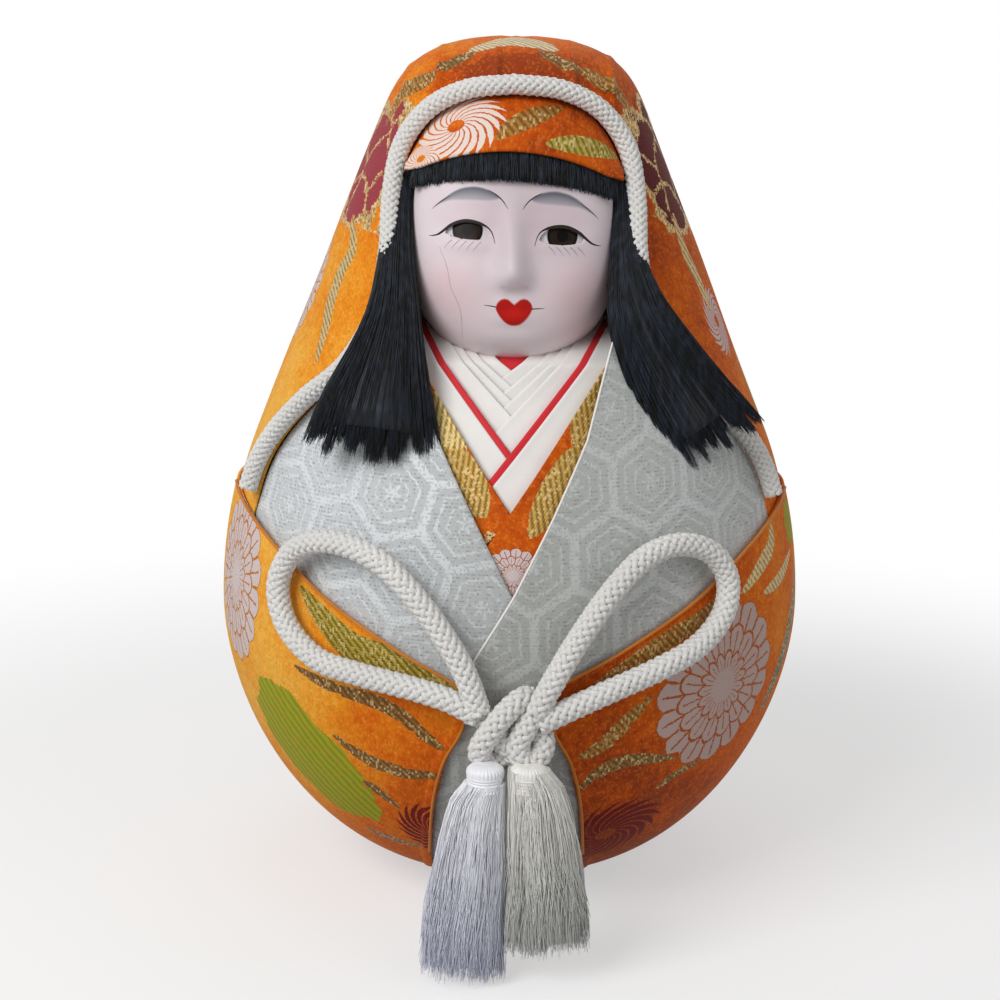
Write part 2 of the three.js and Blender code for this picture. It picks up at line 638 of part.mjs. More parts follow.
// Hood cord, lying on the hood's edge and running down to the mantle
const cordLift = hoodOuter + GAP + HOOD_CORD_DIAMETER / 2;
const cordCourse = mirrored(openingHalf.slice(1)).map(([x, z]) => frontPoint(x, z, cordLift));
function hoodCord(grow) {
  const whole = cord(cordCourse, HOOD_CORD_DIAMETER + 2 * grow, HOOD_CORD_STEPS);
  return whole.intersect(frontPrism(mantleOpening(grow - GAP)));
}
add("hood_cord", hoodCord(0), WHITE_CORD);

// A patch of cloth or hair between an outer and an inner grid of points
function patch(outer, inner) {
  const columns = outer.length;
  const rows = outer[0].length;
  const points = [...outer.flat(), ...inner.flat()];
  const back = columns * rows;
  const at = (i, j) => i * rows + j;
  const quads = [];
  for (let i = 0; i + 1 < columns; i++) {
    for (let j = 0; j + 1 < rows; j++) {
      const face = [at(i, j), at(i + 1, j), at(i + 1, j + 1), at(i, j + 1)];
      quads.push(face, face.map((k) => k + back).reverse());
    }
  }
  const rim = [];
  const [side, end] = [columns - 1, rows - 1];
  for (let i = 0; i < side; i++) rim.push([at(i, 0), at(i + 1, 0)], [at(i + 1, end), at(i, end)]);
  for (let j = 0; j < end; j++) rim.push([at(side, j), at(side, j + 1)], [at(0, j + 1), at(0, j)]);
  for (const [a, b] of rim) quads.push([b, a, a + back, b + back]);
  return meshSolid(points, quads);
}

const spread = (count) => Array.from({ length: count + 1 }, (_, i) => (2 * i) / count - 1);

// Bangs: a straight-cut strip of hair over the brow
const browDrop = (x, drop) => drop * (x / BROW_HALF_WIDTH) ** 2;
const browFront = (x, up) => BANGS_FRONT - browDrop(x, BROW_ROUNDING) - BROW_SLOPE * (up - BANGS_EDGE);

function bangs(grow) {
  const skins = [BANGS_THICKNESS + grow, -grow].map((lift) =>
    spread(BROW_COLUMNS).map((share) => {
      const x = share * (BANGS_HALF_WIDTH + grow);
      const low = BANGS_EDGE - grow - browDrop(x, BANGS_CURVE);
      const high = BANGS_TOP + grow - browDrop(x, BANGS_ARCH);
      return [low, high].map((up) => new THREE.Vector3(x, -browFront(x, up) - lift, maskMiddle + up));
    }),
  );
  return patch(...skins);
}

// Head cloth: from the bangs back to the hood's edge, and tucked under it
const [clothOuter, clothInner] = layers.inner_robe;
const edgePoint = (place) => openingCurve.getPoint(place / edgeSpans);

function headCloth(lift, tuckOffset, grow) {
  const sideStep = edgePoint(TEMPLE_POINT).distanceTo(edgePoint(TEMPLE_POINT + 1));
  return spread(HEAD_CLOTH_COLUMNS).map((share) => {
    const x = share * (BROW_HALF_WIDTH + grow);
    const up = BANGS_TOP - BANGS_COVER - grow - browDrop(x, BANGS_ARCH);
    const front = browFront(x, up) + BANGS_THICKNESS + GAP + lift;
    const low = new THREE.Vector3(x, -front, maskMiddle + up);
    const edge = edgePoint(Math.abs(share) * (TEMPLE_POINT + grow / sideStep));
    edge.y -= maskMiddle;
    const [inside, tucked] = [-SEAT_ROOM, HEAD_CLOTH_TUCK + grow].map((beyond) => {
      const grown = 1 + beyond / edge.length();
      return frontPoint(Math.sign(share) * edge.x * grown, maskMiddle + edge.y * grown, tuckOffset);
    });
    const rows = Array.from({ length: HEAD_CLOTH_ROWS + 1 }, (_, row) => {
      const rise = row / HEAD_CLOTH_ROWS;
      const puff = HEAD_CLOTH_PUFF * Math.sin(Math.PI * rise);
      return low.clone().lerp(inside, rise).add(new THREE.Vector3(0, -puff, puff));
    });
    return [...rows, tucked];
  });
}
const headClothRoom = (grow) =>
  patch(headCloth(CLOTH + grow, clothOuter + grow, grow), headCloth(-grow, clothInner - grow, grow));
add("head_cloth", headClothRoom(0), ORANGE_BROCADE);
add("hair_bangs", bangs(0).subtract(maskRoom).subtract(headClothRoom(HAIR_ROOM)), BLACK_HAIR);

// Locks and fringes: ridged sections along a course, closed at both ends
function loft(sections) {
  const sides = sections[0].length;
  const points = sections.flat();
  const last = (sections.length - 1) * sides;
  const centre = (ring) => ring.reduce((sum, p) => sum.add(p), new THREE.Vector3()).divideScalar(sides);
  const first = points.push(centre(sections[0])) - 1;
  const end = points.push(centre(sections.at(-1))) - 1;
  const quads = [];
  const fans = [];
  for (let i = 0; i < sides; i++) {
    const next = (i + 1) % sides;
    for (let ring = 0; ring < last; ring += sides) {
      quads.push([ring + i, ring + next, ring + sides + next, ring + sides + i]);
    }
    fans.push([first, next, i], [end, last + i, last + next]);
  }
  return meshSolid(points, quads, fans);
}

function ridgedRing(centre, across, through, ridges) {
  return Array.from({ length: 2 * ridges }, (_, i) => {
    const angle = (Math.PI * i) / ridges;
    const swell = i % 2 ? 1 - RIDGE_DEPTH : 1;
    return centre
      .clone()
      .addScaledVector(across, swell * Math.cos(angle))
      .addScaledVector(through, swell * Math.sin(angle));
  });
}

function hairLock(course) {
  const points = course.map(([x, y, rise]) => new THREE.Vector3(x, y, chinHeight + rise));
  const curve = new THREE.CatmullRomCurve3(points);
  const steps = 2 * (course.length - 1);
  const rings = Array.from({ length: steps + 1 }, (_, i) => {
    const share = i / steps;
    const place = share * (course.length - 1);
    const from = course[Math.floor(place)];
    const to = course[Math.ceil(place)];
    const [wide, thick] = [3, 4].map((k) => THREE.MathUtils.lerp(from[k], to[k], place % 1));
    const centre = curve.getPoint(share);
    const outwards = new THREE.Vector3(centre.x, centre.y, 0).normalize();
    const across = new THREE.Vector3().crossVectors(curve.getTangent(share), outwards).normalize();
    const through = new THREE.Vector3().crossVectors(across, curve.getTangent(share)).normalize();
    return ridgedRing(centre, across.multiplyScalar(wide), through.multiplyScalar(thick), LOCK_RIDGES);
  });
  const robeTop = chinHeight - Math.min(LAPEL_LEFT[0][1], LAPEL_RIGHT[0][1]);
  const shoulders = formSolid(hoodOuter + GAP).intersect(slab(0, robeTop + GAP));
  return loft(rings)
    .subtract(shoulders)
    .subtract(maskRoom)
    .subtract(hoodCord(GAP))
    .subtract(bangs(HAIR_ROOM))
    .subtract(headClothRoom(HAIR_ROOM));
}

add("hair_lock_left", hairLock(LOCK_LEFT), BLACK_HAIR);
add("hair_lock_right", hairLock(LOCK_RIGHT), BLACK_HAIR);

// Bow: two tilted turns of cord as the knot, lying on the robe, and a loop on each side
const knotReach = KNOT_FLATNESS * (KNOT_RADIUS + BOW_CORD_DIAMETER / 2);
const knotFront = formRadius(KNOT_HEIGHT) + hoodOuter + GAP + knotReach;

function knotTurns(grow) {
  const turns = [-1, 1].map((side) => {
    const ring = new THREE.TorusGeometry(KNOT_RADIUS, BOW_CORD_DIAMETER / 2 + grow, ...KNOT_FACETS);
    ring.scale(1, KNOT_FLATNESS, 1).rotateY(THREE.MathUtils.degToRad(side * KNOT_TILT));
    return toSolid(ring.translate((side * KNOT_SPREAD) / 2, -knotFront, KNOT_HEIGHT));
  });
  return turns[0].add(turns[1]);
}

add("bow_knot", knotTurns(0), WHITE_CORD);
const loopPoints = (course) => course.map((p) => new THREE.Vector3(...p));
const bowLoop = (course) => cord(loopPoints(course), BOW_CORD_DIAMETER, LOOP_STEPS).subtract(knotTurns(GAP));
add("bow_loop_left", bowLoop(LOOP_LEFT), WHITE_CORD);
add("bow_loop_right", bowLoop(LOOP_RIGHT), WHITE_CORD);

// Tassels, each made about its hinge under the front of the knot
const hingeHeight = knotTurns(0).boundingBox().min[2] - GAP;
const hingeFront = knotFront + knotReach - TASSEL_SETBACK;
const headLow = -TASSEL_STEM_LENGTH - TASSEL_HEAD_LENGTH;

function tasselHead() {
  const profile = [
    [0, headLow],
    [TASSEL_HEAD_RADIUS, headLow],
    [TASSEL_NECK_RADIUS, headLow + TASSEL_NECK_RISE],
    [TASSEL_HEAD_RADIUS, headLow + TASSEL_KNOB_RISE],
    [TASSEL_STEM_RADIUS, -TASSEL_STEM_LENGTH],
    [TASSEL_STEM_RADIUS, 0],
    [0, 0],
  ];
  const lathe = new THREE.LatheGeometry(profile.map((p) => new THREE.Vector2(...p)), TASSEL_SIDES);
  return toSolid(lathe.rotateX(Math.PI / 2));
}

function tasselFringe(side, clearance) {
  const top = headLow - GAP;
  const low = clearance - hingeHeight;
  const rings = Array.from({ length: FRINGE_ROWS + 1 }, (_, row) => {
    const flare = row / FRINGE_ROWS;
    const height = THREE.MathUtils.lerp(top, low, flare ** 2);
    const [wide, deep] = [0, 1].map((k) => THREE.MathUtils.lerp(FRINGE_TOP[k], FRINGE_END[k], flare));
    const centre = new THREE.Vector3(side * FRINGE_SWAY * flare, 0, height);
    return ridgedRing(centre, new THREE.Vector3(wide, 0, 0), new THREE.Vector3(0, deep, 0), FRINGE_RIDGES);
  });
  return loft(rings);
}

const tassels = [[-1, "left", FRINGE_LEFT_CLEARANCE], [1, "right", FRINGE_RIGHT_CLEARANCE]];
for (const [side, hand, clearance] of tassels) {
  const tassel = new THREE.Group();
  tassel.position.set((side * TASSEL_SPACING) / 2, -hingeFront, hingeHeight);
  add(`tassel_head_${hand}`, tasselHead(), WHITE_CORD, tassel);
  add(`tassel_fringe_${hand}`, tasselFringe(side, clearance), WHITE_CORD, tassel);
  group.add(tassel);
}

export default group;
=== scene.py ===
# %% [markdown]
# # Hime daruma doll
# A hime daruma is a round papier-mache doll dressed in brocade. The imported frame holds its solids, and this
# lesson makes what the eye sees on them: braided cords, woven cloth, a painted face, hair and tassels.
# Lengths are written in millimetres, the way a doll maker would give them, and are turned to metres when a
# mesh is made.

# %% Load the frame
import math
from contextlib import contextmanager

import bmesh
import bpy
import numpy as np
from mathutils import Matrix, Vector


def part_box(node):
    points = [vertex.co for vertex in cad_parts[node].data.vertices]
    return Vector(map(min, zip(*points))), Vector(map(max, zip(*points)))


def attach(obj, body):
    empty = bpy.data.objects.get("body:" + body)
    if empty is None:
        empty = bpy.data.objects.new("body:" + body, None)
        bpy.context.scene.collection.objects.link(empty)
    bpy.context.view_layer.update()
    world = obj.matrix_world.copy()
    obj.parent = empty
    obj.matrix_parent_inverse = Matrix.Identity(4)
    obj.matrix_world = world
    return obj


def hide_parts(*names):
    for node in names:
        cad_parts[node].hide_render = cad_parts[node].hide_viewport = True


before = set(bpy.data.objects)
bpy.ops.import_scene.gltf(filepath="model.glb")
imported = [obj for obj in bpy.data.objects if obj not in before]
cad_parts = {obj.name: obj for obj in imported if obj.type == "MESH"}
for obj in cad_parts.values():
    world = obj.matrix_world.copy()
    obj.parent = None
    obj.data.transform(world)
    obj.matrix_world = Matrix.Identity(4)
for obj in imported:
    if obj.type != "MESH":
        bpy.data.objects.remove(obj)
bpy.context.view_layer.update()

MM = 0.001
scene = bpy.context.scene
scene.view_settings.view_transform = "Standard"

# %% [markdown]
# ## Camera
# The photograph looks down a little at the face from about half a metre, with a long lens. A camera could
# be aimed by eye, but its height and pitch were worked out from the body's outline, so that the same
# outline comes back.

# %% Camera
CAMERA_PLACE = (0, -560, 230)
CAMERA_PITCH = 12.39
CAMERA_YAW = 0.44
CAMERA_ROLL = -0.6
FOCAL_LENGTH = 70.6

camera_data = bpy.data.cameras.new("photo_camera")
camera_data.lens = FOCAL_LENGTH
camera = bpy.data.objects.new("photo_camera", camera_data)
camera.location = [c * MM for c in CAMERA_PLACE]
camera.rotation_euler = [math.radians(a) for a in (90 - CAMERA_PITCH, CAMERA_ROLL, CAMERA_YAW)]
scene.collection.objects.link(camera)
scene.camera = camera
print("camera at", [round(c, 3) for c in camera.location])

# %% [markdown]
# ## Helpers
# One function turns a colour to linear light, one adds a node with its settings and links, and one makes a
# mesh from points in millimetres. Everything after this is built from them.

# %% Helpers
MIX, MIX_A, MIX_B = "ShaderNodeMix", 6, 7
RANGE, RAMP, SPLIT = "ShaderNodeMapRange", "ShaderNodeValToRGB", "ShaderNodeSeparateXYZ"
NOISE, WAVE, BUMP = "ShaderNodeTexNoise", "ShaderNodeTexWave", "ShaderNodeBump"
COORDINATES, UV_MAP, ATTRIBUTE = "ShaderNodeTexCoord", "ShaderNodeUVMap", "ShaderNodeAttribute"
HANDS = {"left": -1, "right": 1}


def linear(code):
    """An sRGB hex colour as linear RGBA."""
    channels = [int(code[place:place + 2], 16) / 255 for place in (1, 3, 5)]
    return (*[c / 12.92 if c <= 0.04045 else ((c + 0.055) / 1.055) ** 2.4 for c in channels], 1.0)


def fill(tree, made, inputs):
    """Fills or links a node's inputs, by place or name. A node is linked by its first live output, and a
    colour code becomes linear light."""
    for key, value in inputs.items() if isinstance(inputs, dict) else enumerate(inputs):
        if isinstance(value, str):
            value = linear(value)
        if isinstance(value, bpy.types.Node):
            value = next(output for output in value.outputs if output.enabled)
        if isinstance(value, bpy.types.NodeSocket):
            tree.links.new(value, made.inputs[key])
        else:
            made.inputs[key].default_value = value


def node(tree, kind, inputs=(), **settings):
    """Adds a node with its settings and inputs. A kind in capitals is an operation of the Math node, or of
    the Vector Math node where VECTOR stands before it. A mix is one of colours unless a setting differs."""
    if kind.isupper():
        family, _, settings["operation"] = kind.rpartition(" ")
        kind = "ShaderNodeVectorMath" if family else "ShaderNodeMath"
    if kind == MIX:
        settings.setdefault("data_type", "RGBA")
    made = tree.nodes.new(kind)
    for key, value in settings.items():
        setattr(made, key, value)
    fill(tree, made, inputs)
    return made


def new_material(name, **sockets):
    """A material with values set on its shader's own sockets, whose words are joined with spaces. Gives the
    material, its tree, its shader and the place on the object."""
    material = bpy.data.materials.new(name)
    material.use_nodes = True
    shader = material.node_tree.nodes["Principled BSDF"]
    fill(material.node_tree, shader, {key.replace("_", " "): value for key, value in sockets.items()})
    place = node(material.node_tree, COORDINATES).outputs["Object"]
    return material, material.node_tree, shader, place


def set_tones(ramp, tones):
    """Sets a colour ramp's stops, each a place from 0 to 1 and a colour, the first and the last included."""
    stops = ramp.color_ramp.elements
    for stop, (position, code) in zip(stops, (tones[0], tones[-1])):
        stop.position = position
        stop.color = linear(code)
    for position, code in tones[1:-1]:
        stops.new(position).color = linear(code)


def piece(name, points, faces, material):
    """A smooth mesh object from points in millimetres."""
    mesh = bpy.data.meshes.new(name)
    places = np.asarray(points, float).reshape(-1, 3) * MM
    mesh.from_pydata(places.tolist(), [], [tuple(int(k) for k in face) for face in faces])
    mesh.materials.append(material)
    mesh.shade_smooth()
    made = bpy.data.objects.new(name, mesh)
    scene.collection.objects.link(made)
    return made


def grid_faces(rows, columns):
    """Faces of a grid of points, row by row."""
    at = np.arange(rows * columns).reshape(rows, columns)
    return np.stack([at[:-1, :-1], at[:-1, 1:], at[1:, 1:], at[1:, :-1]], -1).reshape(-1, 4)


def settle(made, slot, *nodes, body="doll"):
    """Rides a finished piece on its body, in place of its solids."""
    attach(made, body)
    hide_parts(*nodes)
    return made


def smooth_curve(points, steps):
    """A smooth curve through points, with a number of steps between each two."""
    p = np.asarray(points, float)
    p = np.vstack([2 * p[0] - p[1], p, 2 * p[-1] - p[-2]])
    t = np.linspace(0, 1, steps, endpoint=False)[:, None]
    spans = []
    for a, b, c, d in zip(p[:-3], p[1:-2], p[2:-1], p[3:]):
        cubic = (3 * b - a - 3 * c + d) * t ** 3
        spans.append(0.5 * (2 * b + (c - a) * t + (2 * a - 5 * b + 4 * c - d) * t ** 2 + cubic))
    return np.vstack([*spans, p[-2:-1]])


def round_angles(count):
    """Angles evenly round a circle."""
    return np.linspace(0, 2 * math.pi, count, endpoint=False)


def unit(vectors):
    """Vectors of length 1 in the same directions."""
    return vectors / np.linalg.norm(vectors, axis=-1, keepdims=True)


@contextmanager
def edited(mesh):
    """Opens a mesh for editing, and writes it back at the end."""
    shell = bmesh.new()
    shell.from_mesh(mesh)
    yield shell
    shell.to_mesh(mesh)
    shell.free()


def join(target, *others):
    """Joins meshes of one piece into the first."""
    with edited(target.data) as whole:
        for part in others:
            whole.from_mesh(part.data)
    for part in others:
        bpy.data.objects.remove(part)
    target.data.shade_smooth()
    return target


def loft(name, rings, material):
    """A closed skin over rings of points."""
    rings = np.asarray(rings)
    count, sides = rings.shape[:2]
    at = np.arange(count * sides).reshape(count, sides)
    turned = np.roll(at, -1, axis=1)
    quads = np.stack([at[:-1], turned[:-1], turned[1:], at[1:]], -1).reshape(-1, 4)
    made = piece(name, rings, [*quads, tuple(at[0][::-1]), tuple(at[-1])], material)
    with edited(made.data) as shell:
        bmesh.ops.recalc_face_normals(shell, faces=shell.faces)
    return made


print("helpers ready")

# %% [markdown]
# ## Light and floor
# Soft light from the upper left, as from a window, with a weaker light on the right. The lamps and the
# world together give about the light at which a colour renders as it is written. The floor is white to the
# camera and to reflections, and still takes the doll's shadow.

# %% Light and floor
# Place, size and watts of each lamp
LAMPS = {
    "window_light": ((-750, -900, 900), 800, 12.5),
    "fill_light": ((1000, -700, 350), 900, 1.6),
    "top_light": ((100, 600, 1100), 700, 0.6),
}
DOLL_MIDDLE = (0, 0, 120)
WORLD_LIGHT = 0.36
FLOOR_GLOW = 0.5
FLOOR_ALBEDO = 0.5
FLOOR_FADE = (170, 420)
FLOOR_SIZE = 6000

for name, (place, size, watts) in LAMPS.items():
    data = bpy.data.lights.new(name, "AREA")
    data.size = size * MM
    data.energy = watts
    lamp = bpy.data.objects.new(name, data)
    lamp.location = [c * MM for c in place]
    direction = np.subtract(DOLL_MIDDLE, place)
    lamp.rotation_euler = (math.atan2(math.hypot(*direction[:2]), -direction[2]), 0,
                           math.atan2(direction[1], direction[0]) - math.pi / 2)
    scene.collection.objects.link(lamp)


def seen_directly(tree):
    """1 for a camera, mirror or glass ray, and 0 for light that falls on things."""
    path = node(tree, "ShaderNodeLightPath")
    seen = node(tree, "MAXIMUM", (path.outputs["Is Camera Ray"], path.outputs["Is Glossy Ray"]))
    return node(tree, "MAXIMUM", (seen, path.outputs["Is Transmission Ray"]))


world = bpy.data.worlds.new("white_studio")
world.use_nodes = True
scene.world = world
world_tree = world.node_tree
strength = node(world_tree, RANGE, {"Value": seen_directly(world_tree), "To Min": WORLD_LIGHT, "To Max": 1.0})
fill(world_tree, world_tree.nodes["Background"], {"Strength": strength, "Color": (1, 1, 1, 1)})

floor_material = bpy.data.materials.new("pale_paper_floor")
floor_material.use_nodes = True
floor_tree = floor_material.node_tree
floor_tree.nodes.clear()
seen = seen_directly(floor_tree)
glow = node(floor_tree, "ShaderNodeEmission", {"Strength": node(floor_tree, "MULTIPLY", (seen, FLOOR_GLOW))})
matte = node(floor_tree, "ShaderNodeBsdfDiffuse", {"Color": (FLOOR_ALBEDO,) * 3 + (1,)})
near_floor = node(floor_tree, "ShaderNodeAddShader", (glow, matte))
reach = node(floor_tree, "VECTOR LENGTH", (node(floor_tree, COORDINATES).outputs["Object"],))
fade_from, fade_to = FLOOR_FADE
fade = node(floor_tree, RANGE, {"Value": reach, "From Min": fade_from * MM, "From Max": fade_to * MM},
            interpolation_type="SMOOTHSTEP")
far = node(floor_tree, "MULTIPLY", (fade, seen))
paper_white = node(floor_tree, "ShaderNodeEmission", {"Strength": 1.0})
floor_shader = node(floor_tree, "ShaderNodeMixShader", (far, near_floor, paper_white))
node(floor_tree, "ShaderNodeOutputMaterial", (floor_shader,))
half_floor = FLOOR_SIZE / 2
floor_corners = [(-half_floor, -half_floor, 0), (half_floor, -half_floor, 0),
                 (half_floor, half_floor, 0), (-half_floor, half_floor, 0)]
floor = piece("studio_floor", floor_corners, [(0, 1, 2, 3)], floor_material)
print("lamps", sorted(LAMPS))

# %% [markdown]
# ## Braided cord
# The bow, its knot and the hood's edge are a round braid of twelve strands, six each way, with a
# seed-shaped stitch wherever a strand comes to the top. A bump on a tube would look flat in close light, so a
# node tree winds real strands round any path: each duplicate of the path is pushed out along the path's own
# normal by a turning angle, and its radius swings in and out once for each crossing.

# %% Ivory silk braid
FIBRE_SIZE, STAIN_SIZE = 0.35, 18


def ivory_braid():
    """Silk floss: pale ivory with a soft sheen, and fine fibres along the strands."""
    material, tree, shader, place = new_material("ivory_silk_braid", Roughness=0.55, Sheen_Weight=0.35,
                                                 Sheen_Roughness=0.4)
    fibre = node(tree, NOISE, {"Vector": place, "Scale": 1 / (FIBRE_SIZE * MM), "Detail": 3.0})
    stain = node(tree, NOISE, {"Vector": place, "Scale": 1 / (STAIN_SIZE * MM)})
    tone = node(tree, MIX, {0: stain, MIX_A: "#e6e4e0", MIX_B: "#d2d0cd"})
    tint = node(tree, MIX, {0: 0.25, MIX_A: tone, MIX_B: fibre.outputs["Color"]}, blend_type="SOFT_LIGHT")
    bump = node(tree, BUMP, {"Strength": 0.35, "Distance": 0.1 * MM, "Height": fibre})
    fill(tree, shader, {"Base Color": tint, "Normal": bump})
    return material


BRAID = ivory_braid()
print("made", BRAID.name)

# %% A node tree that braids strands along a path
STRANDS_EACH_WAY = 6
STRAND_SIDES, CORE_SIDES = 6, 10
CIRCLE, SWEEP = "GeometryNodeCurvePrimitiveCircle", "GeometryNodeCurveToMesh"


def group_inputs(tree, *sizes):
    """Adds a geometry input, a number for each size, a material and a geometry output. Gives the inputs."""
    sockets = [("Geometry", "Geometry"), *[(name, "Float") for name in sizes], ("Material", "Material")]
    for name, kind in sockets:
        tree.interface.new_socket(name, in_out="INPUT", socket_type="NodeSocket" + kind)
    tree.interface.new_socket("Geometry", in_out="OUTPUT", socket_type="NodeSocketGeometry")
    return node(tree, "NodeGroupInput").outputs


def end_tree(tree, geometry, material):
    """Ends a tree with plain smooth faces of one material."""
    real = node(tree, "GeometryNodeRealizeInstances", (geometry,))
    smooth = node(tree, "GeometryNodeSetShadeSmooth", {"Geometry": real})
    finished = node(tree, "GeometryNodeSetMaterial", {"Geometry": smooth, "Material": material})
    node(tree, "NodeGroupOutput", (finished,))


def braid_tree():
    """Winds strands round a path, half of them each way, each crossing over and under the others."""
    tree = bpy.data.node_groups.new("braid_along_path", "GeometryNodeTree")
    size = group_inputs(tree, "Braid radius", "Strand radius", "Lay length", "Weave depth", "Core radius",
                        "Step")
    course = node(tree, "GeometryNodeMeshToCurve", {"Mesh": size["Geometry"]})
    path = node(tree, "GeometryNodeResampleCurve", {"Curve": course, "Length": size["Step"]}, mode="LENGTH")
    copies = node(tree, "GeometryNodeDuplicateElements", {"Geometry": path, "Amount": 2 * STRANDS_EACH_WAY},
                  domain="SPLINE")
    number = copies.outputs["Duplicate Index"]
    along = node(tree, "GeometryNodeSplineParameter").outputs["Length"]
    first = node(tree, "LESS_THAN", (number, float(STRANDS_EACH_WAY)))
    way = node(tree, "MULTIPLY_ADD", (first, 2.0, -1.0))
    turns = node(tree, "DIVIDE", (along, size["Lay length"]))
    turn = node(tree, "MULTIPLY", (turns, 2 * math.pi))
    start = node(tree, "MULTIPLY", (number, 2 * math.pi / STRANDS_EACH_WAY))
    angle = node(tree, "MULTIPLY_ADD", (turn, way, start))
    crossing = node(tree, "MULTIPLY", (turn, float(STRANDS_EACH_WAY)))
    swing = node(tree, "MULTIPLY", (node(tree, "COSINE", (crossing,)), way))
    radius = node(tree, "MULTIPLY_ADD", (swing, size["Weave depth"], size["Braid radius"]))
    normal = node(tree, "GeometryNodeInputNormal")
    sideways = node(tree, "VECTOR CROSS_PRODUCT", (node(tree, "GeometryNodeInputTangent"), normal))
    up = node(tree, "MULTIPLY", (node(tree, "COSINE", (angle,)), radius))
    over = node(tree, "MULTIPLY", (node(tree, "SINE", (angle,)), radius))
    pushes = [node(tree, "VECTOR SCALE", {0: axis, "Scale": far})
              for axis, far in ((normal, up), (sideways, over))]
    offset = node(tree, "VECTOR ADD", pushes)
    wound = node(tree, "GeometryNodeSetPosition", {"Geometry": copies.outputs["Geometry"], "Offset": offset})
    section = node(tree, CIRCLE, {"Resolution": STRAND_SIDES, "Radius": size["Strand radius"]})
    strands = node(tree, SWEEP, {"Curve": wound, "Profile Curve": section, "Fill Caps": True})
    core_section = node(tree, CIRCLE, {"Resolution": CORE_SIDES, "Radius": size["Core radius"]})
    core = node(tree, SWEEP, {"Curve": path, "Profile Curve": core_section, "Fill Caps": True})
    joined = node(tree, "GeometryNodeJoinGeometry", (strands,))
    fill(tree, joined, (core,))
    end_tree(tree, joined, size["Material"])
    return tree


def grown(name, base_mesh, tree, values):
    """Runs a node tree on a mesh and gives the result as a plain mesh object."""
    made = bpy.data.objects.new(name, base_mesh)
    scene.collection.objects.link(made)
    modifier = made.modifiers.new(tree.name, "NODES")
    modifier.node_group = tree
    for socket in tree.interface.items_tree:
        if socket.in_out == "INPUT" and socket.name in values:
            modifier[socket.identifier] = values[socket.name]
    evaluated = made.evaluated_get(bpy.context.evaluated_depsgraph_get())
    result = bpy.data.meshes.new_from_object(evaluated)
    made.modifiers.clear()
    made.data = result
    return made


def path_mesh(name, lines):
    """A mesh of bare polylines, in millimetres."""
    mesh = bpy.data.meshes.new(name)
    starts = np.cumsum([0] + [len(line) for line in lines])
    edges = [(k, k + 1) for start, end in zip(starts[:-1], starts[1:]) for k in range(start, end - 1)]
    mesh.from_pydata((np.vstack(lines) * MM).tolist(), edges, [])
    return mesh


BRAID_TREE = braid_tree()
# Shares of the braid's diameter: one stitch, a strand's radius, and how far it swings in and out
STITCH_SHARE, STRAND_SHARE, SWING_SHARE = 0.37, 0.125, 0.05
STEPS_PER_LAY = 40


def braided(name, path, diameter):
    """A braid of a given outer diameter along a path in millimetres."""
    strand = STRAND_SHARE * diameter
    depth = SWING_SHARE * diameter
    lay = STITCH_SHARE * diameter * STRANDS_EACH_WAY
    values = {"Braid radius": diameter / 2 - strand - depth, "Strand radius": strand, "Lay length": lay,
              "Weave depth": depth, "Core radius": diameter / 2 - 1.4 * strand - depth,
              "Step": lay / STEPS_PER_LAY}
    values = {key: value * MM for key, value in values.items()}
    made = grown(name, path_mesh(name + "_path", [path]), BRAID_TREE, {**values, "Material": BRAID})
    print(name, "faces", len(made.data.polygons))
    return made


# %% [markdown]
# ## Bow
# The bow's two loops and its knot are one thick cord tied in front of the robe. Each loop leaves the knot,
# stands out over the mantle's edge and comes back, so its route is a short list of points read off the
# body's surface. The knot is three turns of the same cord: one over the front from the left loop, one round
# the right, and one between them below.

# %% Bow loops and knot
BOW_CORD = 6.6
knot_low, knot_high = (np.array(corner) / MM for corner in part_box("bow_knot"))
KNOT_MIDDLE = (knot_low + knot_high) / 2
KNOT_REACH = 8.5
COURSE_STEPS = 12
LOOP_ROUTES = {
    "left": [
        (-7, -89.5, 71.5), (-12, -88.5, 84), (-21.6, -84.5, 97.5), (-32.9, -79, 107.8), (-44.9, -72, 111.2),
        (-54.6, -65.6, 108.4), (-59.4, -63, 102), (-60.6, -63.2, 94.6), (-57.4, -66.8, 86.4),
        (-49.4, -73.4, 80.4), (-37.9, -80, 78.4), (-24.1, -85.5, 76.6), (-14.6, -88.4, 74.4),
        (-7, -89.5, 70.5),
    ],
    "right": [
        (7, -89.5, 71.5), (11.2, -88.6, 79.5), (18.1, -86.2, 91), (26.5, -82.4, 102.4), (34.8, -77.6, 109.8),
        (43.8, -72.3, 111.8), (52.2, -67.6, 108.4), (56.8, -65.6, 101), (55.6, -68.2, 92.2),
        (48.8, -73.8, 85.2), (38.4, -80, 80.8), (23.8, -85.5, 75.6), (13.4, -88.2, 71.4), (7, -89.5, 68.5),
    ],
}
KNOT_TURNS = [
    [(5.5, 4, 8.5), (2.4, 0, 8.3), (-2.4, -2.5, 4), (-5.5, -2.5, -0.7), (-7, -1, -4.3), (-5.5, 1, -7.5),
     (-1, 2.5, -8.2)],
    [(7.5, 0.5, 6.5), (4.5, -1.2, 1.8), (2.6, -1.6, -3.1), (4.8, -1.2, -6.9), (8.3, 0, -5.5), (9, 1.5, -1.8),
     (6.5, 3, 1)],
    [(-9, 1.5, 6.2), (-5, 1, 2.5), (-1, 0.5, -2.5), (1.5, 1.5, -6.5), (3, 2.5, -9)],
]

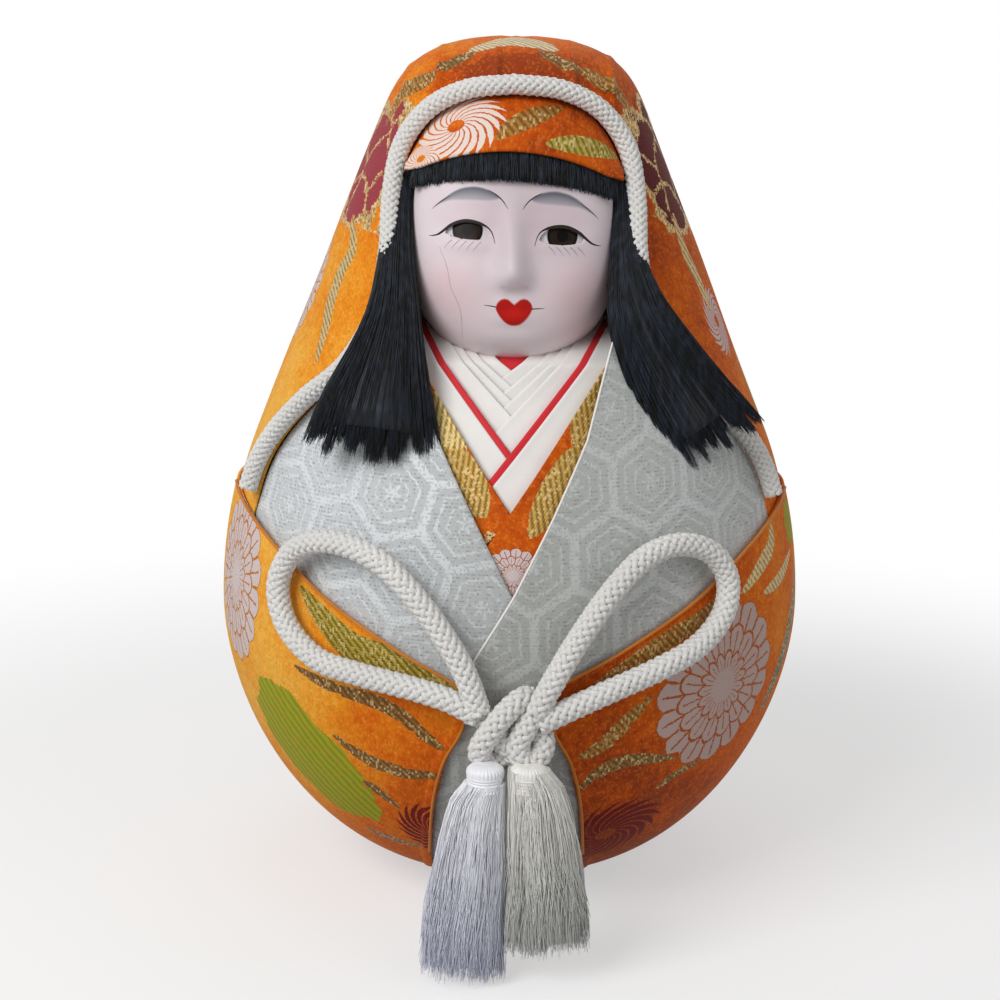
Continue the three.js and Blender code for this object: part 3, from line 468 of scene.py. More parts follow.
turns = []
for number, route in enumerate(KNOT_TURNS):
    turns.append(braided(f"knot_turn_{number}", KNOT_MIDDLE + smooth_curve(route, COURSE_STEPS), BOW_CORD))
knot = join(*turns)
knot.name = "bow_knot_braid"
settle(knot, "braided_cord", "bow_knot")
for hand, route in LOOP_ROUTES.items():
    course = smooth_curve(route, COURSE_STEPS)
    course = course[np.linalg.norm(course - KNOT_MIDDLE, axis=1) > KNOT_REACH]
    loop = braided(f"bow_loop_{hand}_braid", course, BOW_CORD)
    settle(loop, "braided_cord", f"bow_loop_{hand}")

# %% [markdown]
# ## Body form
# All the cloth lies on one egg-shaped form: a bowl, a rounded shoulder, a straight cone and a flattened
# crown. The same formula as the solids' is repeated here, so a point is found from its angle round the
# body, its height, and how far it stands off the form. Angle 0 is the front.

# %% Body form
BODY_HEIGHT = 240
BELLY_RADIUS, BELLY_HEIGHT = 83.5, 80
SHOULDER_HEIGHT = 130
CROWN_RADIUS, CROWN_RISE, CROWN_SQUARENESS = 41.7, 30, 5
BASE_RADIUS, FORM_BASE, BOWL_ROUNDNESS = 24, 3, 1.8
CHIN_HEIGHT, NECK_SINK, NECK_SPREAD = 157, 4, 26

crown_base = BODY_HEIGHT - CROWN_RISE
shoulder_rise = SHOULDER_HEIGHT - BELLY_HEIGHT
cone_run = (crown_base - SHOULDER_HEIGHT) / shoulder_rise
root_term = CROWN_RADIUS ** 2 + 4 * BELLY_RADIUS ** 2 * (1 + cone_run) * cone_run
shoulder_share = (CROWN_RADIUS + math.sqrt(root_term)) / (2 * BELLY_RADIUS * (1 + cone_run))
shoulder_round = shoulder_rise / math.sqrt(1 - shoulder_share ** 2)
cone_slope = (CROWN_RADIUS - BELLY_RADIUS * shoulder_share) / (crown_base - SHOULDER_HEIGHT)


def form_radius(z):
    """Radius of the dressed body at a height."""
    z = np.asarray(z, float)
    depth = np.clip((BELLY_HEIGHT - z) / (BELLY_HEIGHT - FORM_BASE), 0, 1)
    fullness = (1 - depth ** BOWL_ROUNDNESS) ** (1 / BOWL_ROUNDNESS)
    bowl = BASE_RADIUS + (BELLY_RADIUS - BASE_RADIUS) * fullness
    shoulder = BELLY_RADIUS * np.sqrt(np.clip(1 - ((z - BELLY_HEIGHT) / shoulder_round) ** 2, 0, 1))
    climb = np.clip((z - crown_base) / CROWN_RISE, 0, 1)
    crown = (1 - climb ** CROWN_SQUARENESS) ** (2 / CROWN_SQUARENESS)
    cone = (CROWN_RADIUS + cone_slope * (z - crown_base)) * crown
    return np.where(z <= BELLY_HEIGHT, bowl, np.where(z <= SHOULDER_HEIGHT, shoulder, cone))


def form_point(angle, z, offset):
    """Points of the form moved along its normal, with the neck drawn in at the front."""
    angle, z, offset = np.broadcast_arrays(angle, np.asarray(z, float), offset)
    step = 0.01
    above, below = np.minimum(z + step, BODY_HEIGHT), np.maximum(z - step, FORM_BASE)
    slope = (form_radius(above) - form_radius(below)) / (2 * step)
    length = np.hypot(1, slope)
    radius = form_radius(z) + offset / length
    sink = NECK_SINK * np.exp(-(((z - CHIN_HEIGHT) / NECK_SPREAD) ** 2))
    front = np.maximum(0, np.cos(angle))
    return np.stack([radius * np.sin(angle), -radius * np.cos(angle) + sink * front ** 2,
                     z - offset * slope / length], -1)


def front_angle(x, z):
    """Angle of the front point that lies x to the side."""
    return np.arcsin(np.clip(x / np.maximum(form_radius(z), 1e-6), -1, 1))


profile_heights = np.linspace(FORM_BASE, BODY_HEIGHT, 2000)
profile_steps = np.hypot(np.diff(profile_heights), np.diff(form_radius(profile_heights)))
profile_lengths = np.concatenate([[0], np.cumsum(profile_steps)])


def cloth_place(angle, z):
    """Where a point lies on the cloth: round the body, and along its profile, in millimetres."""
    angle, z = np.broadcast_arrays(angle, np.asarray(z, float))
    return np.stack([angle * form_radius(z), np.interp(z, profile_heights, profile_lengths)], -1)


print("belly", form_radius(80), "crown", round(float(form_radius(210)), 1))

# %% [markdown]
# ## Edge of the hood and its cord
# The hood opens round the face and widens over the shoulders. A braid a little thinner than the bow's is
# sewn along that edge. It is held all the way, so it isn't a free cord.

# %% Hood edge and its braid
OPENING_TOP = 225.3
OPENING_EDGE = [
    (0, 0), (12, 1.4), (22, 6.6), (28.8, 16.3), (31.2, 29.3), (31.8, 43.1),
    (34.5, 58.1), (42.5, 72.1), (53.5, 82.1), (62.3, 92.1), (68, 102.1), (72, 115.1),
]
HOOD_CORD = 5.6
HOOD_CORD_LIFT = 2.0
MANTLE_TIP = 75
MANTLE_EDGE = [
    (20.5, -75), (20.5, -55), (19, -35), (16, -21), (11, -10), (11, 0),
    (28, 9.5), (47, 20), (63, 31), (77, 40),
]
MANTLE_TOP = MANTLE_TIP + MANTLE_EDGE[-1][1]

opening = smooth_curve([(x, OPENING_TOP - drop) for x, drop in OPENING_EDGE], 10)
mantle_edge = np.array([(x, MANTLE_TIP + rise) for x, rise in MANTLE_EDGE], float)


def opening_width(z):
    """Half of the hood's opening at a height."""
    return np.where(np.asarray(z) > OPENING_TOP, 0, np.interp(z, opening[::-1, 1], opening[::-1, 0]))


def mantle_width(z):
    """Half of the mantle's opening at a height: a slit below its tip, and the neckline above."""
    return np.interp(z, mantle_edge[:, 1], mantle_edge[:, 0])


cord_half = opening[opening[:, 1] > mantle_edge[-1, 1] + 1]
cord_x, cord_z = np.vstack([cord_half[::-1] * (-1, 1), cord_half[1:]]).T
cord_course = form_point(front_angle(cord_x, cord_z), cord_z, HOOD_CORD_LIFT)
settle(braided("hood_edge_braid", cord_course, HOOD_CORD), "braided_cord", "hood_cord")

# %% [markdown]
# ## Orange brocade
# Kinran is a silk brocade with flat gold thread in its weft. The ground is orange; chrysanthemums, peonies,
# leaves and tapering grass blades are woven in other threads. Painting the motifs on a picture would fix
# their size, so each is a formula in the material instead. A face of the cloth that lies under a motif
# carries its place in the motif's own square, from -1 to 1, as a second UV map, with the motif's kind and
# thread colour as attributes.

# %% Flowers, blades and leaves
PETAL, WHIRL, BLADE, PEONY, LEAF = 1, 2, 3, 4, 5
CHRYSANTHEMUM_PETALS, CHRYSANTHEMUM_RINGS, CHRYSANTHEMUM_EYE = 15, 3, 0.2
PETAL_ROUNDING, PETAL_REACH, TIP_LINE, SIDE_LINE = 1.4, 0.42, 0.06, 0.45
STREAK_WIDTH, STREAK_REACH = 0.035, 0.15
WHIRL_PETALS, WHIRL_CURL, WHIRL_EYE, WHIRL_GAP = 17, 10, 0.17, 0.25
WHIRL_INNER, WHIRL_REACH = 0.66, 0.3
BLADE_TAPER = 0.65
RAGGED_GRAIN, VEIN_GRAIN, VEIN_WIDTH = 1.7, 1.9, 0.045
PEONY_RAGGED, PEONY_EDGE, PEONY_RIM = 0.9, 1.25, 1.22
LEAF_RAGGED, LEAF_EDGE = 0.4, 1.1


def chrysanthemum(tree, radius, turns):
    """Rings of round-tipped petals, each half a petal further round: the petals, and the lines between."""
    ring = node(tree, "MULTIPLY", (radius, CHRYSANTHEMUM_RINGS + 0.4))
    number = node(tree, "ROUND", (ring,))
    half_turn = node(tree, "MULTIPLY", (number, 0.5))
    petal_turn = node(tree, "MULTIPLY_ADD", (turns, float(CHRYSANTHEMUM_PETALS), half_turn))
    aside = node(tree, "WRAP", (petal_turn, 0.5, -0.5))
    apart = node(tree, "ABSOLUTE", (aside,))
    outward = node(tree, "SUBTRACT", (ring, number))
    bend = node(tree, "MULTIPLY", (aside, aside))
    tip = node(tree, "MULTIPLY_ADD", (bend, -PETAL_ROUNDING, PETAL_REACH))
    tip_line = node(tree, "COMPARE", (outward, tip, TIP_LINE))
    side_line = node(tree, "GREATER_THAN", (apart, SIDE_LINE))
    narrow = node(tree, "LESS_THAN", (apart, STREAK_WIDTH))
    streak = node(tree, "MULTIPLY", (narrow, node(tree, "LESS_THAN", (outward, STREAK_REACH))))
    lines = node(tree, "MAXIMUM", (node(tree, "MAXIMUM", (tip_line, side_line)), streak))
    lines = node(tree, "MULTIPLY", (lines, node(tree, "GREATER_THAN", (radius, CHRYSANTHEMUM_EYE))))
    flower_edge = node(tree, "ADD", (tip, float(CHRYSANTHEMUM_RINGS)))
    in_flower = node(tree, "LESS_THAN", (ring, flower_edge))
    lines = node(tree, "MULTIPLY", (in_flower, lines))
    return node(tree, "SUBTRACT", (in_flower, lines)), lines


def whirl(tree, radius, turns):
    """Petals that curl round the middle like a pinwheel."""
    curl = node(tree, "MULTIPLY", (radius, float(WHIRL_CURL)))
    whirl_turn = node(tree, "MULTIPLY_ADD", (turns, 2.0 * WHIRL_PETALS, curl))
    saw = node(tree, "PINGPONG", (whirl_turn, 1.0))
    within = node(tree, "LESS_THAN", (radius, node(tree, "MULTIPLY_ADD", (saw, WHIRL_REACH, WHIRL_INNER))))
    petals = node(tree, "MULTIPLY", (node(tree, "GREATER_THAN", (saw, WHIRL_GAP)), within))
    return node(tree, "MULTIPLY", (petals, node(tree, "GREATER_THAN", (radius, WHIRL_EYE))))


def blade(tree, across, up):
    """A ribbon that tapers to both ends."""
    room = node(tree, "SUBTRACT", (1.0, node(tree, "MULTIPLY", (across, across))))
    half = node(tree, "POWER", (node(tree, "MAXIMUM", (room, 0.0)), BLADE_TAPER))
    return node(tree, "LESS_THAN", (node(tree, "ABSOLUTE", (up,)), half))


def peony_and_leaf(tree, place, radius):
    """Ragged round patches: the peony, the leaf, and the veins and rim of the peony."""
    ragged = node(tree, NOISE, {"Vector": place, "Scale": RAGGED_GRAIN, "Detail": 3.0}, noise_dimensions="2D")
    peony_radius = node(tree, "MULTIPLY_ADD", (ragged, PEONY_RAGGED, radius))
    leaf_radius = node(tree, "MULTIPLY_ADD", (ragged, LEAF_RAGGED, radius))
    peony = node(tree, "LESS_THAN", (peony_radius, PEONY_EDGE))
    leaf = node(tree, "LESS_THAN", (leaf_radius, LEAF_EDGE))
    bent = node(tree, "VECTOR SCALE", {0: ragged.outputs["Color"], "Scale": 0.5})
    veined = node(tree, "VECTOR ADD", (place, bent))
    veins = node(tree, "ShaderNodeTexVoronoi", {"Vector": veined, "Scale": VEIN_GRAIN, "Randomness": 0.9},
                 voronoi_dimensions="2D", feature="DISTANCE_TO_EDGE")
    vein = node(tree, "LESS_THAN", (veins.outputs["Distance"], VEIN_WIDTH))
    rim = node(tree, "COMPARE", (peony_radius, PEONY_RIM, TIP_LINE))
    return peony, leaf, node(tree, "MAXIMUM", (node(tree, "MULTIPLY", (vein, peony)), rim))


print("motifs ready")

# %% Orange ground
CLOUD_SIZE, MOTTLE_SIZE = 15, 2.2
CLOUD_STRENGTH, MOTTLE_STRENGTH, PALER = 0.6, 0.5, 0.55
DARK_THREADS, LIT_THREADS, LIT_STRENGTH = 0.24, 0.3, 0.2
GROUND_TONES = [(0, "#ffc04c"), (0.3, "#f79a1c"), (0.6, "#e66d0a"), (0.85, "#c85006"), (1, "#9c3a10")]
X, Y, Z = 0, 1, 2
# Each change of painted light and shade: its axis, where it starts and ends, and how much redder and darker
# the ground gets
PAINTED_SIDE_SHADE = (X, -84, 15, 0.85)
PAINTED_LIGHT_AND_SHADE = [(Z, 75, 15, 0.2), (X, 35, 84, -0.35), (Z, 233, 239, -0.3)]
PAINTED_BROW_SHADE = [(Y, -18, -42, 1.0), (Z, 222, 228, 0.6)]


def orange_ground(tree, spot, glint):
    """Orange silk with painted light and shade: redder to the right, low down and over the brow, paler at the
    right edge and crest.
    """
    place = node(tree, SPLIT, (spot,)).outputs
    # Painted light and shade: redder and darker to the right, low down and over the brow; paler on the right
    # edge and the crest
    turned, *changes, fore, brow = [
        node(tree, RANGE, {"Value": place[axis], "From Min": start * MM, "From Max": end * MM,
                           "To Max": most})
        for axis, start, end, most in (PAINTED_SIDE_SHADE, *PAINTED_LIGHT_AND_SHADE, *PAINTED_BROW_SHADE)]
    turned.interpolation_type = "SMOOTHSTEP"
    shade = node(tree, "MULTIPLY_ADD", (fore, brow, turned))
    for change in changes:
        shade = node(tree, "ADD", (shade, change))
    for size, detail, strength in ((CLOUD_SIZE, 5.0, CLOUD_STRENGTH), (MOTTLE_SIZE, 2.0, MOTTLE_STRENGTH)):
        grain = node(tree, NOISE, {"Vector": spot, "Scale": 1 / (size * MM), "Detail": detail})
        shade = node(tree, "MULTIPLY_ADD", (grain, strength, shade))
    tones = node(tree, RAMP, (node(tree, "SUBTRACT", (shade, PALER)),))
    set_tones(tones, GROUND_TONES)
    floats = node(tree, "MULTIPLY", (glint, DARK_THREADS))
    ground = node(tree, MIX, {0: floats, MIX_A: tones, MIX_B: "#8a3a08"})
    lit = node(tree, RANGE, {"Value": glint, "From Max": LIT_THREADS, "To Min": LIT_STRENGTH, "To Max": 0.0})
    return node(tree, MIX, {0: lit, MIX_A: ground, MIX_B: "#ffae4e"})


print("ground tones", len(GROUND_TONES))

# %% Orange kinran brocade
WARP_SPACING, WEFT_SPACING, RIB_SPACING, LEAF_RIB_SPACING = 0.5, 0.7, 1.1, 1.7
# A wave's bands are this far apart at a scale of 1
WAVE_BAND = 0.314
# How far a motif's edge is shaken from thread to thread, and how far a flower's is
LOOSE_SHAKE, STEADY_SHAKE = 0.05, 0.015


def orange_brocade():
    """Silk ground with flat gold weft: satin where the silk floats, glinting where the gold comes up."""
    material, tree, shader, spot = new_material("orange_kinran_brocade", Specular_IOR_Level=0.12,
                                                Sheen_Weight=0.1, Sheen_Roughness=0.35, Sheen_Tint="#ffd9a0")
    cloth = node(tree, UV_MAP, uv_map="cloth")
    thread = node(tree, "VECTOR MULTIPLY", (cloth, (1 / WARP_SPACING, 1 / WEFT_SPACING, 0)))
    cell = node(tree, "VECTOR FLOOR", (thread,))
    glint = node(tree, "ShaderNodeTexWhiteNoise", {"Vector": cell}, noise_dimensions="2D")

    # Place in the motif's square, shaken from thread to thread so that its edges step as a weave does
    square = node(tree, UV_MAP, uv_map="motif")
    shake = node(tree, "VECTOR SUBTRACT", (glint.outputs["Color"], (0.5, 0.5, 0.5)))
    shakes = [node(tree, "VECTOR SCALE", {0: shake, "Scale": far}) for far in (LOOSE_SHAKE, STEADY_SHAKE)]
    loose, steady = [node(tree, "VECTOR ADD", (square, shaken)) for shaken in shakes]
    across, up, _ = node(tree, SPLIT, (loose,)).outputs
    flat_x, flat_y, _ = node(tree, SPLIT, (steady,)).outputs
    radius = node(tree, "VECTOR LENGTH", (steady,))
    turns = node(tree, "DIVIDE", (node(tree, "ARCTAN2", (flat_y, flat_x)), 2 * math.pi))
    kind = node(tree, ATTRIBUTE, attribute_name="motif_kind").outputs["Fac"]
    colour = node(tree, ATTRIBUTE, attribute_name="motif_thread").outputs["Color"]

    # Which threads come up here
    petal, petal_edge = chrysanthemum(tree, radius, turns)
    peony, leaf, vein = peony_and_leaf(tree, loose, radius)
    drawn = (petal, whirl(tree, radius, turns), blade(tree, across, up), peony, leaf)
    chosen = [node(tree, "COMPARE", (kind, float(number), 0.4)) for number in range(PETAL, LEAF + 1)]
    shown = [node(tree, "MULTIPLY", pair) for pair in zip(chosen, drawn)]
    woven = shown[0]
    for part in shown[1:]:
        woven = node(tree, "ADD", (woven, part))
    gold = node(tree, "MULTIPLY_ADD", (chosen[3], vein, shown[2]))
    dressed = node(tree, MIX, {0: woven, MIX_A: orange_ground(tree, spot, glint), MIX_B: colour})

    # Lines, ribs and flecks inside the motifs, and painted glints on the gold thread
    rib, leaf_rib = [
        node(tree, WAVE, {"Vector": cloth, "Scale": WAVE_BAND / spacing, "Distortion": wander},
             bands_direction="DIAGONAL")
        for spacing, wander in ((RIB_SPACING, 0.8), (LEAF_RIB_SPACING, 2.0))]
    # Painted glints: random threads of the gold blades and peony veins are lit pale gold
    painted_gold_glint, fleck = [node(tree, RANGE, {"Value": glint, "From Min": least, "To Max": most})
                    for least, most in ((0.7, 0.75), (0.6, 0.6))]
    gold_with_painted_glints = node(tree, MIX, {0: glint, MIX_A: "#9a6a2a", MIX_B: "#e9cf94"})
    layers = [
        (chosen[0], petal_edge, 0.75, "#a4562a"), (shown[4], leaf_rib, 0.6, "#6f7018"),
        (shown[4], fleck, 1.0, "#c08a30"), (chosen[3], vein, 1.0, gold_with_painted_glints),
        (shown[2], rib, 0.7, "#4d3416"), (shown[2], painted_gold_glint, 1.0, "#e6cd92"),
    ]
    for where, pattern, strength, tone in layers:
        share = node(tree, "MULTIPLY", (node(tree, "MULTIPLY", (where, pattern)), strength))
        dressed = node(tree, MIX, {0: share, MIX_A: dressed, MIX_B: tone})

    warp, weft = [node(tree, WAVE, {"Vector": cloth, "Scale": WAVE_BAND / spacing}, bands_direction=axis)
                  for spacing, axis in ((WARP_SPACING, "X"), (WEFT_SPACING, "Y"))]
    relief = node(tree, "MULTIPLY", (warp.outputs["Fac"], weft.outputs["Fac"]))
    relief = node(tree, "MULTIPLY_ADD", (woven, 0.8, relief))
    relief = node(tree, "MULTIPLY_ADD", (gold, glint, relief))
    bump = node(tree, BUMP, {"Strength": 0.55, "Distance": 0.16 * MM, "Height": relief})
    metal = node(tree, "MULTIPLY", (gold, 0.25))
    rough = node(tree, "MULTIPLY_ADD", (gold, -0.2, 0.66))
    fill(tree, shader, {"Base Color": dressed, "Metallic": metal, "Roughness": rough, "Normal": bump})
    return material


ORANGE = orange_brocade()
print("made", ORANGE.name, "with", len(ORANGE.node_tree.nodes), "nodes")

# %% Cloth panels and their motifs
CLOTH = 0.8
NO_MOTIF = 9.0
# How far outside its square or its edge a motif still marks faces
MOTIF_MARGIN, RIBBON_MARGIN = 1.15, 0.6


def cloth_panel(name, points, places, material, thickness=CLOTH):
    """A sheet from a grid of points, with its place on the flat cloth as a UV map and a thickness inwards."""
    rows, columns = points.shape[:2]
    faces = grid_faces(rows, columns)
    made = piece(name, points, faces, material)
    flat = made.data.uv_layers.new(name="cloth")
    flat.uv.foreach_set("vector", places.reshape(-1, 2)[faces].astype(np.float32).ravel())
    wall = made.modifiers.new("thickness", "SOLIDIFY")
    wall.thickness = thickness * MM
    wall.offset = -1
    return made


def weave_motifs(made, motifs, ribbons=()):
    """Gives each face its motif: a place in the motif's square or along a ribbon, a kind and a colour."""
    mesh = made.data
    points = np.empty(len(mesh.vertices) * 3)
    mesh.vertices.foreach_get("co", points)
    points = points.reshape(-1, 3) / MM
    corners = np.empty(len(mesh.loops), int)
    mesh.loops.foreach_get("vertex_index", corners)
    faces = corners.reshape(-1, 4)
    middles = points[faces].mean(axis=1)
    best = np.full(len(faces), MOTIF_MARGIN)
    kinds = np.zeros(len(faces))
    colours = np.tile((0, 0, 0, 1.0), (len(faces), 1))
    squares = np.full((len(faces), 4, 2), NO_MOTIF)
    for kind, colour, centre, outwards, length, width, turn in motifs:
        level = unit(np.cross((0, 0, 1), outwards))
        rise = np.cross(outwards, level)
        c, s = math.cos(math.radians(turn)), math.sin(math.radians(turn))
        axes = np.stack([(c * level + s * rise) / length, (c * rise - s * level) / width], -1)
        reach = np.linalg.norm((middles - centre) @ axes, axis=1)
        near = (reach < best) & ((middles - centre) @ outwards > -0.6 * max(length, width))
        best[near] = reach[near]
        kinds[near] = kind
        colours[near] = linear(colour)
        squares[near] = (points[faces[near]] - centre) @ axes
    for colour, half_width, course, outwards in ribbons:
        steps = np.gradient(course, axis=0)
        half_length = np.linalg.norm(steps, axis=1).sum() / 2
        steps = unit(steps)
        sideways = np.cross(steps, outwards)
        gaps = np.linalg.norm(middles[:, None] - course, axis=2)
        middle_along = np.linspace(-1, 1, len(course))[gaps.argmin(axis=1)]
        near = gaps.min(axis=1) < RIBBON_MARGIN + half_width * (1 - middle_along ** 2) ** BLADE_TAPER
        nearest = gaps[near].argmin(axis=1)
        offsets = points[faces[near]] - course[nearest][:, None]
        along = np.linspace(-1, 1, len(course))[nearest][:, None]
        squares[near, :, 0] = along + (offsets * steps[nearest][:, None]).sum(-1) / half_length
        squares[near, :, 1] = (offsets * sideways[nearest][:, None]).sum(-1) / half_width
        kinds[near] = BLADE
        colours[near] = linear(colour)
    mesh.uv_layers.new(name="motif").uv.foreach_set("vector", squares.astype(np.float32).ravel())
    mesh.attributes.new("motif_kind", "FLOAT", "FACE").data.foreach_set("value", kinds.astype(np.float32))
    threads = mesh.attributes.new("motif_thread", "FLOAT_COLOR", "FACE")
    threads.data.foreach_set("color", colours.astype(np.float32).ravel())


def on_form(kind, colour, degrees, z, length, width, turn=0):
    """A motif placed on the body form by its angle and height."""
    angle = math.radians(degrees)
    centre = form_point(angle, z, 0.0)
    outwards = form_point(angle, z, 1.0) - centre
    return kind, colour, centre, unit(outwards), length, width, turn


def ribbon(colour, half_width, places):
    """A woven ribbon through places on the form, each an angle in degrees and a height."""
    degrees, z = smooth_curve(places, 10).T
    course = form_point(np.radians(degrees), z, 0.0)
    outwards = form_point(np.radians(degrees), z, 1.0) - course
    return colour, half_width, course, outwards


PALE, MAROON, GOLD, MOSS, OLIVE = "#d8c8c6", "#6e0f12", "#b07a34", "#a3ad22", "#b3a03c"
PAINTED_LIT_WINE, WINE, BROWN, STRAW, SHADED_PALE = "#9c3d48", "#561016", "#8f632e", "#d9bc80", "#c6aca4"
BLUSH, IVORY, FOREST, OLD_GOLD, BRIGHT_GOLD = "#eedcd2", "#ead9b2", "#5c5a18", "#c9a050", "#e3c57e"
print("motif colours ready")

# %% [markdown]
# ## Mantle
# The mantle is one piece of brocade wrapped from the back. It leaves a slit under the knot and a wide
# neckline over the loops, and its edge is turned under, which shows as a narrow raised hem. A sheet could
# be draped by simulation, but it is pasted to the body, so it is drawn straight on the form from edge to
# edge.

# %% Mantle
MANTLE_ROWS, MANTLE_COLUMNS = 96, 300
HEM_WIDTH, HEM_RISE, HEM_ROUNDING, HEM_TURN = 3.2, 0.45, 0.5, 0.4
HEM_STEPS = (0, 0.35, 0.9, 2.2, 2.9, 3.2, 3.8)
HEM_INSET, HEM_LIFT, HEM_RADIUS = 0.5, 0.35, 0.455

# The chrysanthemum on the right is the pale thread painted darker, as shade
MANTLE_MOTIFS = [on_form(*motif) for motif in [
    (PETAL, SHADED_PALE, 44, 70, 23, 24), (WHIRL, MAROON, 25, 27, 18, 15, 35),
    (LEAF, MOSS, 76, 106, 7, 7),
    (PETAL, PALE, -66, 92, 17, 24), (LEAF, MOSS, -46, 47, 29, 16, -50),
    (WHIRL, MAROON, -17, 29, 12, 13),
]]
MANTLE_RIBBONS = [ribbon(*woven) for woven in [
    (BROWN, 2.2, [(-44, 75), (-36, 72), (-26, 70), (-20, 67), (-15, 61), (-11, 57)]),
    (BROWN, 2.2, [(-36, 57), (-31, 53), (-25, 50), (-18, 49), (-12, 50)]),
    (BROWN, 1.7, [(-32, 44), (-28, 41), (-24, 36)]),
    (BROWN, 1.8, [(-40, 24), (-33, 22), (-22, 21)]),
    (OLIVE, 4.4, [(-42, 97), (-35, 89), (-28, 83), (-19, 81), (-11, 77), (-6, 73)]),
    (GOLD, 2.6, [(11, 72), (21, 80), (29, 86), (36, 90), (42, 95)]),
    (GOLD, 2.4, [(13, 55), (18, 59), (22, 65), (27, 72)]),
    (BROWN, 2.3, [(14, 45), (19, 51), (25, 53), (36, 51)]),
    (BROWN, 1.4, [(33, 41), (37, 45), (44, 48)]),
    (STRAW, 2.4, [(48, 94), (56, 100), (61, 104), (63, 110)]),
    (STRAW, 1.8, [(56, 92), (64, 94), (74, 99)]),
    # The dark green ribbon on the right edge is green thread, painted darker as the shade at that edge
    (FOREST, 4.2, [(81, 96), (74, 82), (70, 72), (66.5, 63), (63, 54)]),
]]
BACK_MOTIFS = [(PETAL, PALE, 21, 23), (BLADE, GOLD, 18, 6), (LEAF, MOSS, 15, 22), (WHIRL, MAROON, 15, 15)]
BACK_START, BACK_END, BACK_STEP = 98, 270, 24
# Height of the flower, height of the blade and turn of the blade, by turns
BACK_ROWS = [(62, 106, 25), (88, 42, -25)]
for place, degrees in enumerate(range(BACK_START, BACK_END, BACK_STEP)):
    kind, colour, length, width = BACK_MOTIFS[place % len(BACK_MOTIFS)]
    high, blade_high, blade_turn = BACK_ROWS[place % 2]
    MANTLE_MOTIFS.append(on_form(kind, colour, degrees, high, length, width, 30))
    MANTLE_MOTIFS.append(on_form(BLADE, GOLD, degrees + 8, blade_high, 14, 4.5, blade_turn))

bowl_share = np.linspace(0, 1, MANTLE_ROWS // 2, endpoint=False)
mantle_heights = np.concatenate([
    BELLY_HEIGHT - (BELLY_HEIGHT - FORM_BASE) * np.cos(bowl_share * math.pi / 2),
    np.linspace(BELLY_HEIGHT, MANTLE_TOP, MANTLE_ROWS - MANTLE_ROWS // 2)])
mantle_start = front_angle(mantle_width(mantle_heights), mantle_heights)
mantle_end = 2 * math.pi - mantle_start
inner_columns = np.linspace(0, 1, MANTLE_COLUMNS)[:, None]
hem_angles = np.array(HEM_STEPS)[:, None] / form_radius(mantle_heights)
first_angle = mantle_start + hem_angles[-1]
body_angles = first_angle + inner_columns * (2 * math.pi - 2 * first_angle)
near_hem, far_hem = mantle_start + hem_angles[:-1], (mantle_end - hem_angles[:-1])[::-1]
mantle_angles = np.vstack([near_hem, body_angles, far_hem]).T
edge_distance = np.minimum(mantle_angles - mantle_start[:, None], mantle_end[:, None] - mantle_angles)
edge_distance = edge_distance * form_radius(mantle_heights)[:, None]
hem_inside = np.clip((HEM_WIDTH - edge_distance) / HEM_ROUNDING, 0, 1)
hem_outside = np.clip(edge_distance / HEM_ROUNDING + HEM_TURN, 0, 1)
mantle_points = form_point(mantle_angles, mantle_heights[:, None], HEM_RISE * hem_inside * hem_outside)
mantle_centred = np.where(mantle_angles > math.pi, mantle_angles - 2 * math.pi, mantle_angles)
mantle_places = cloth_place(mantle_centred, mantle_heights[:, None])
mantle = cloth_panel("mantle_brocade", mantle_points, mantle_places, ORANGE)
weave_motifs(mantle, MANTLE_MOTIFS, MANTLE_RIBBONS)
settle(mantle, "orange_brocade", "mantle")
print("mantle faces", len(mantle.data.polygons))

# %% [markdown]
# ## Hood
# The hood covers the crown and the back and is tucked under the mantle. Above the braid it is gathered in a
# few small pleats, where the cloth has to turn over the round head.

# %% Hood
HOOD_LOW, HOOD_BROW, HOOD_CREST, HOOD_TOP = 106, 212, 228, 239.97
HOOD_SINK = 1.1
HOOD_COLUMNS = 280
ROWS_BELOW_BROW, ROWS_OVER_BROW, ROWS_ON_CREST = 76, 26, 26
SLACK_RISE, SLACK_FOLDS, SLACK_LEAN, SLACK_LENGTH = 0.25, 5, 14, 23
PLEATS = [(-20.5, 2.3), (-4.9, 2.3), (6, 0.9), (15.4, 2.4), (26.7, 1.5), (-30, 0.7)]
PLEAT_WIDTH, PLEAT_LENGTH, PLEAT_FOOT = 1.0, 10, 220
FRONT_CROWDING = 0.6

# The left peony is the wine-red thread painted lighter where the light falls
HOOD_MOTIFS = [on_form(*motif) for motif in [
    (PEONY, WINE, 70, 204, 21, 22), (PEONY, PAINTED_LIT_WINE, -66, 205, 21, 22),
    (WHIRL, PALE, 72, 163, 9, 11), (PETAL, PALE, -88, 170, 15, 17),
    (LEAF, MOSS, 90, 140, 12, 18),
]]
HOOD_RIBBONS = [ribbon(*woven) for woven in [
    (GOLD, 3, [(-66, 215), (-62, 223), (-54, 226), (-46, 228), (-40, 231)]),
    (BROWN, 2.4, [(-44, 229), (-35, 233), (-26, 236.5)]),
    (IVORY, 5, [(-34, 236), (-9, 238.4), (15, 238), (30, 236)]),
    (BROWN, 2.4, [(14, 236), (25, 233), (33, 229.5)]),
    (GOLD, 3, [(33, 232), (44, 228), (53, 225), (59, 220)]),
    (STRAW, 2.6, [(-66, 192), (-57, 183), (-59, 176), (-59, 168), (-57, 161), (-56, 150)]),
    (STRAW, 2.4, [(65, 193), (65, 182), (68, 175), (70, 164)]),
]]
HOOD_BACK_START, HOOD_BACK_END, HOOD_BACK_STEP = 112, 260, 37
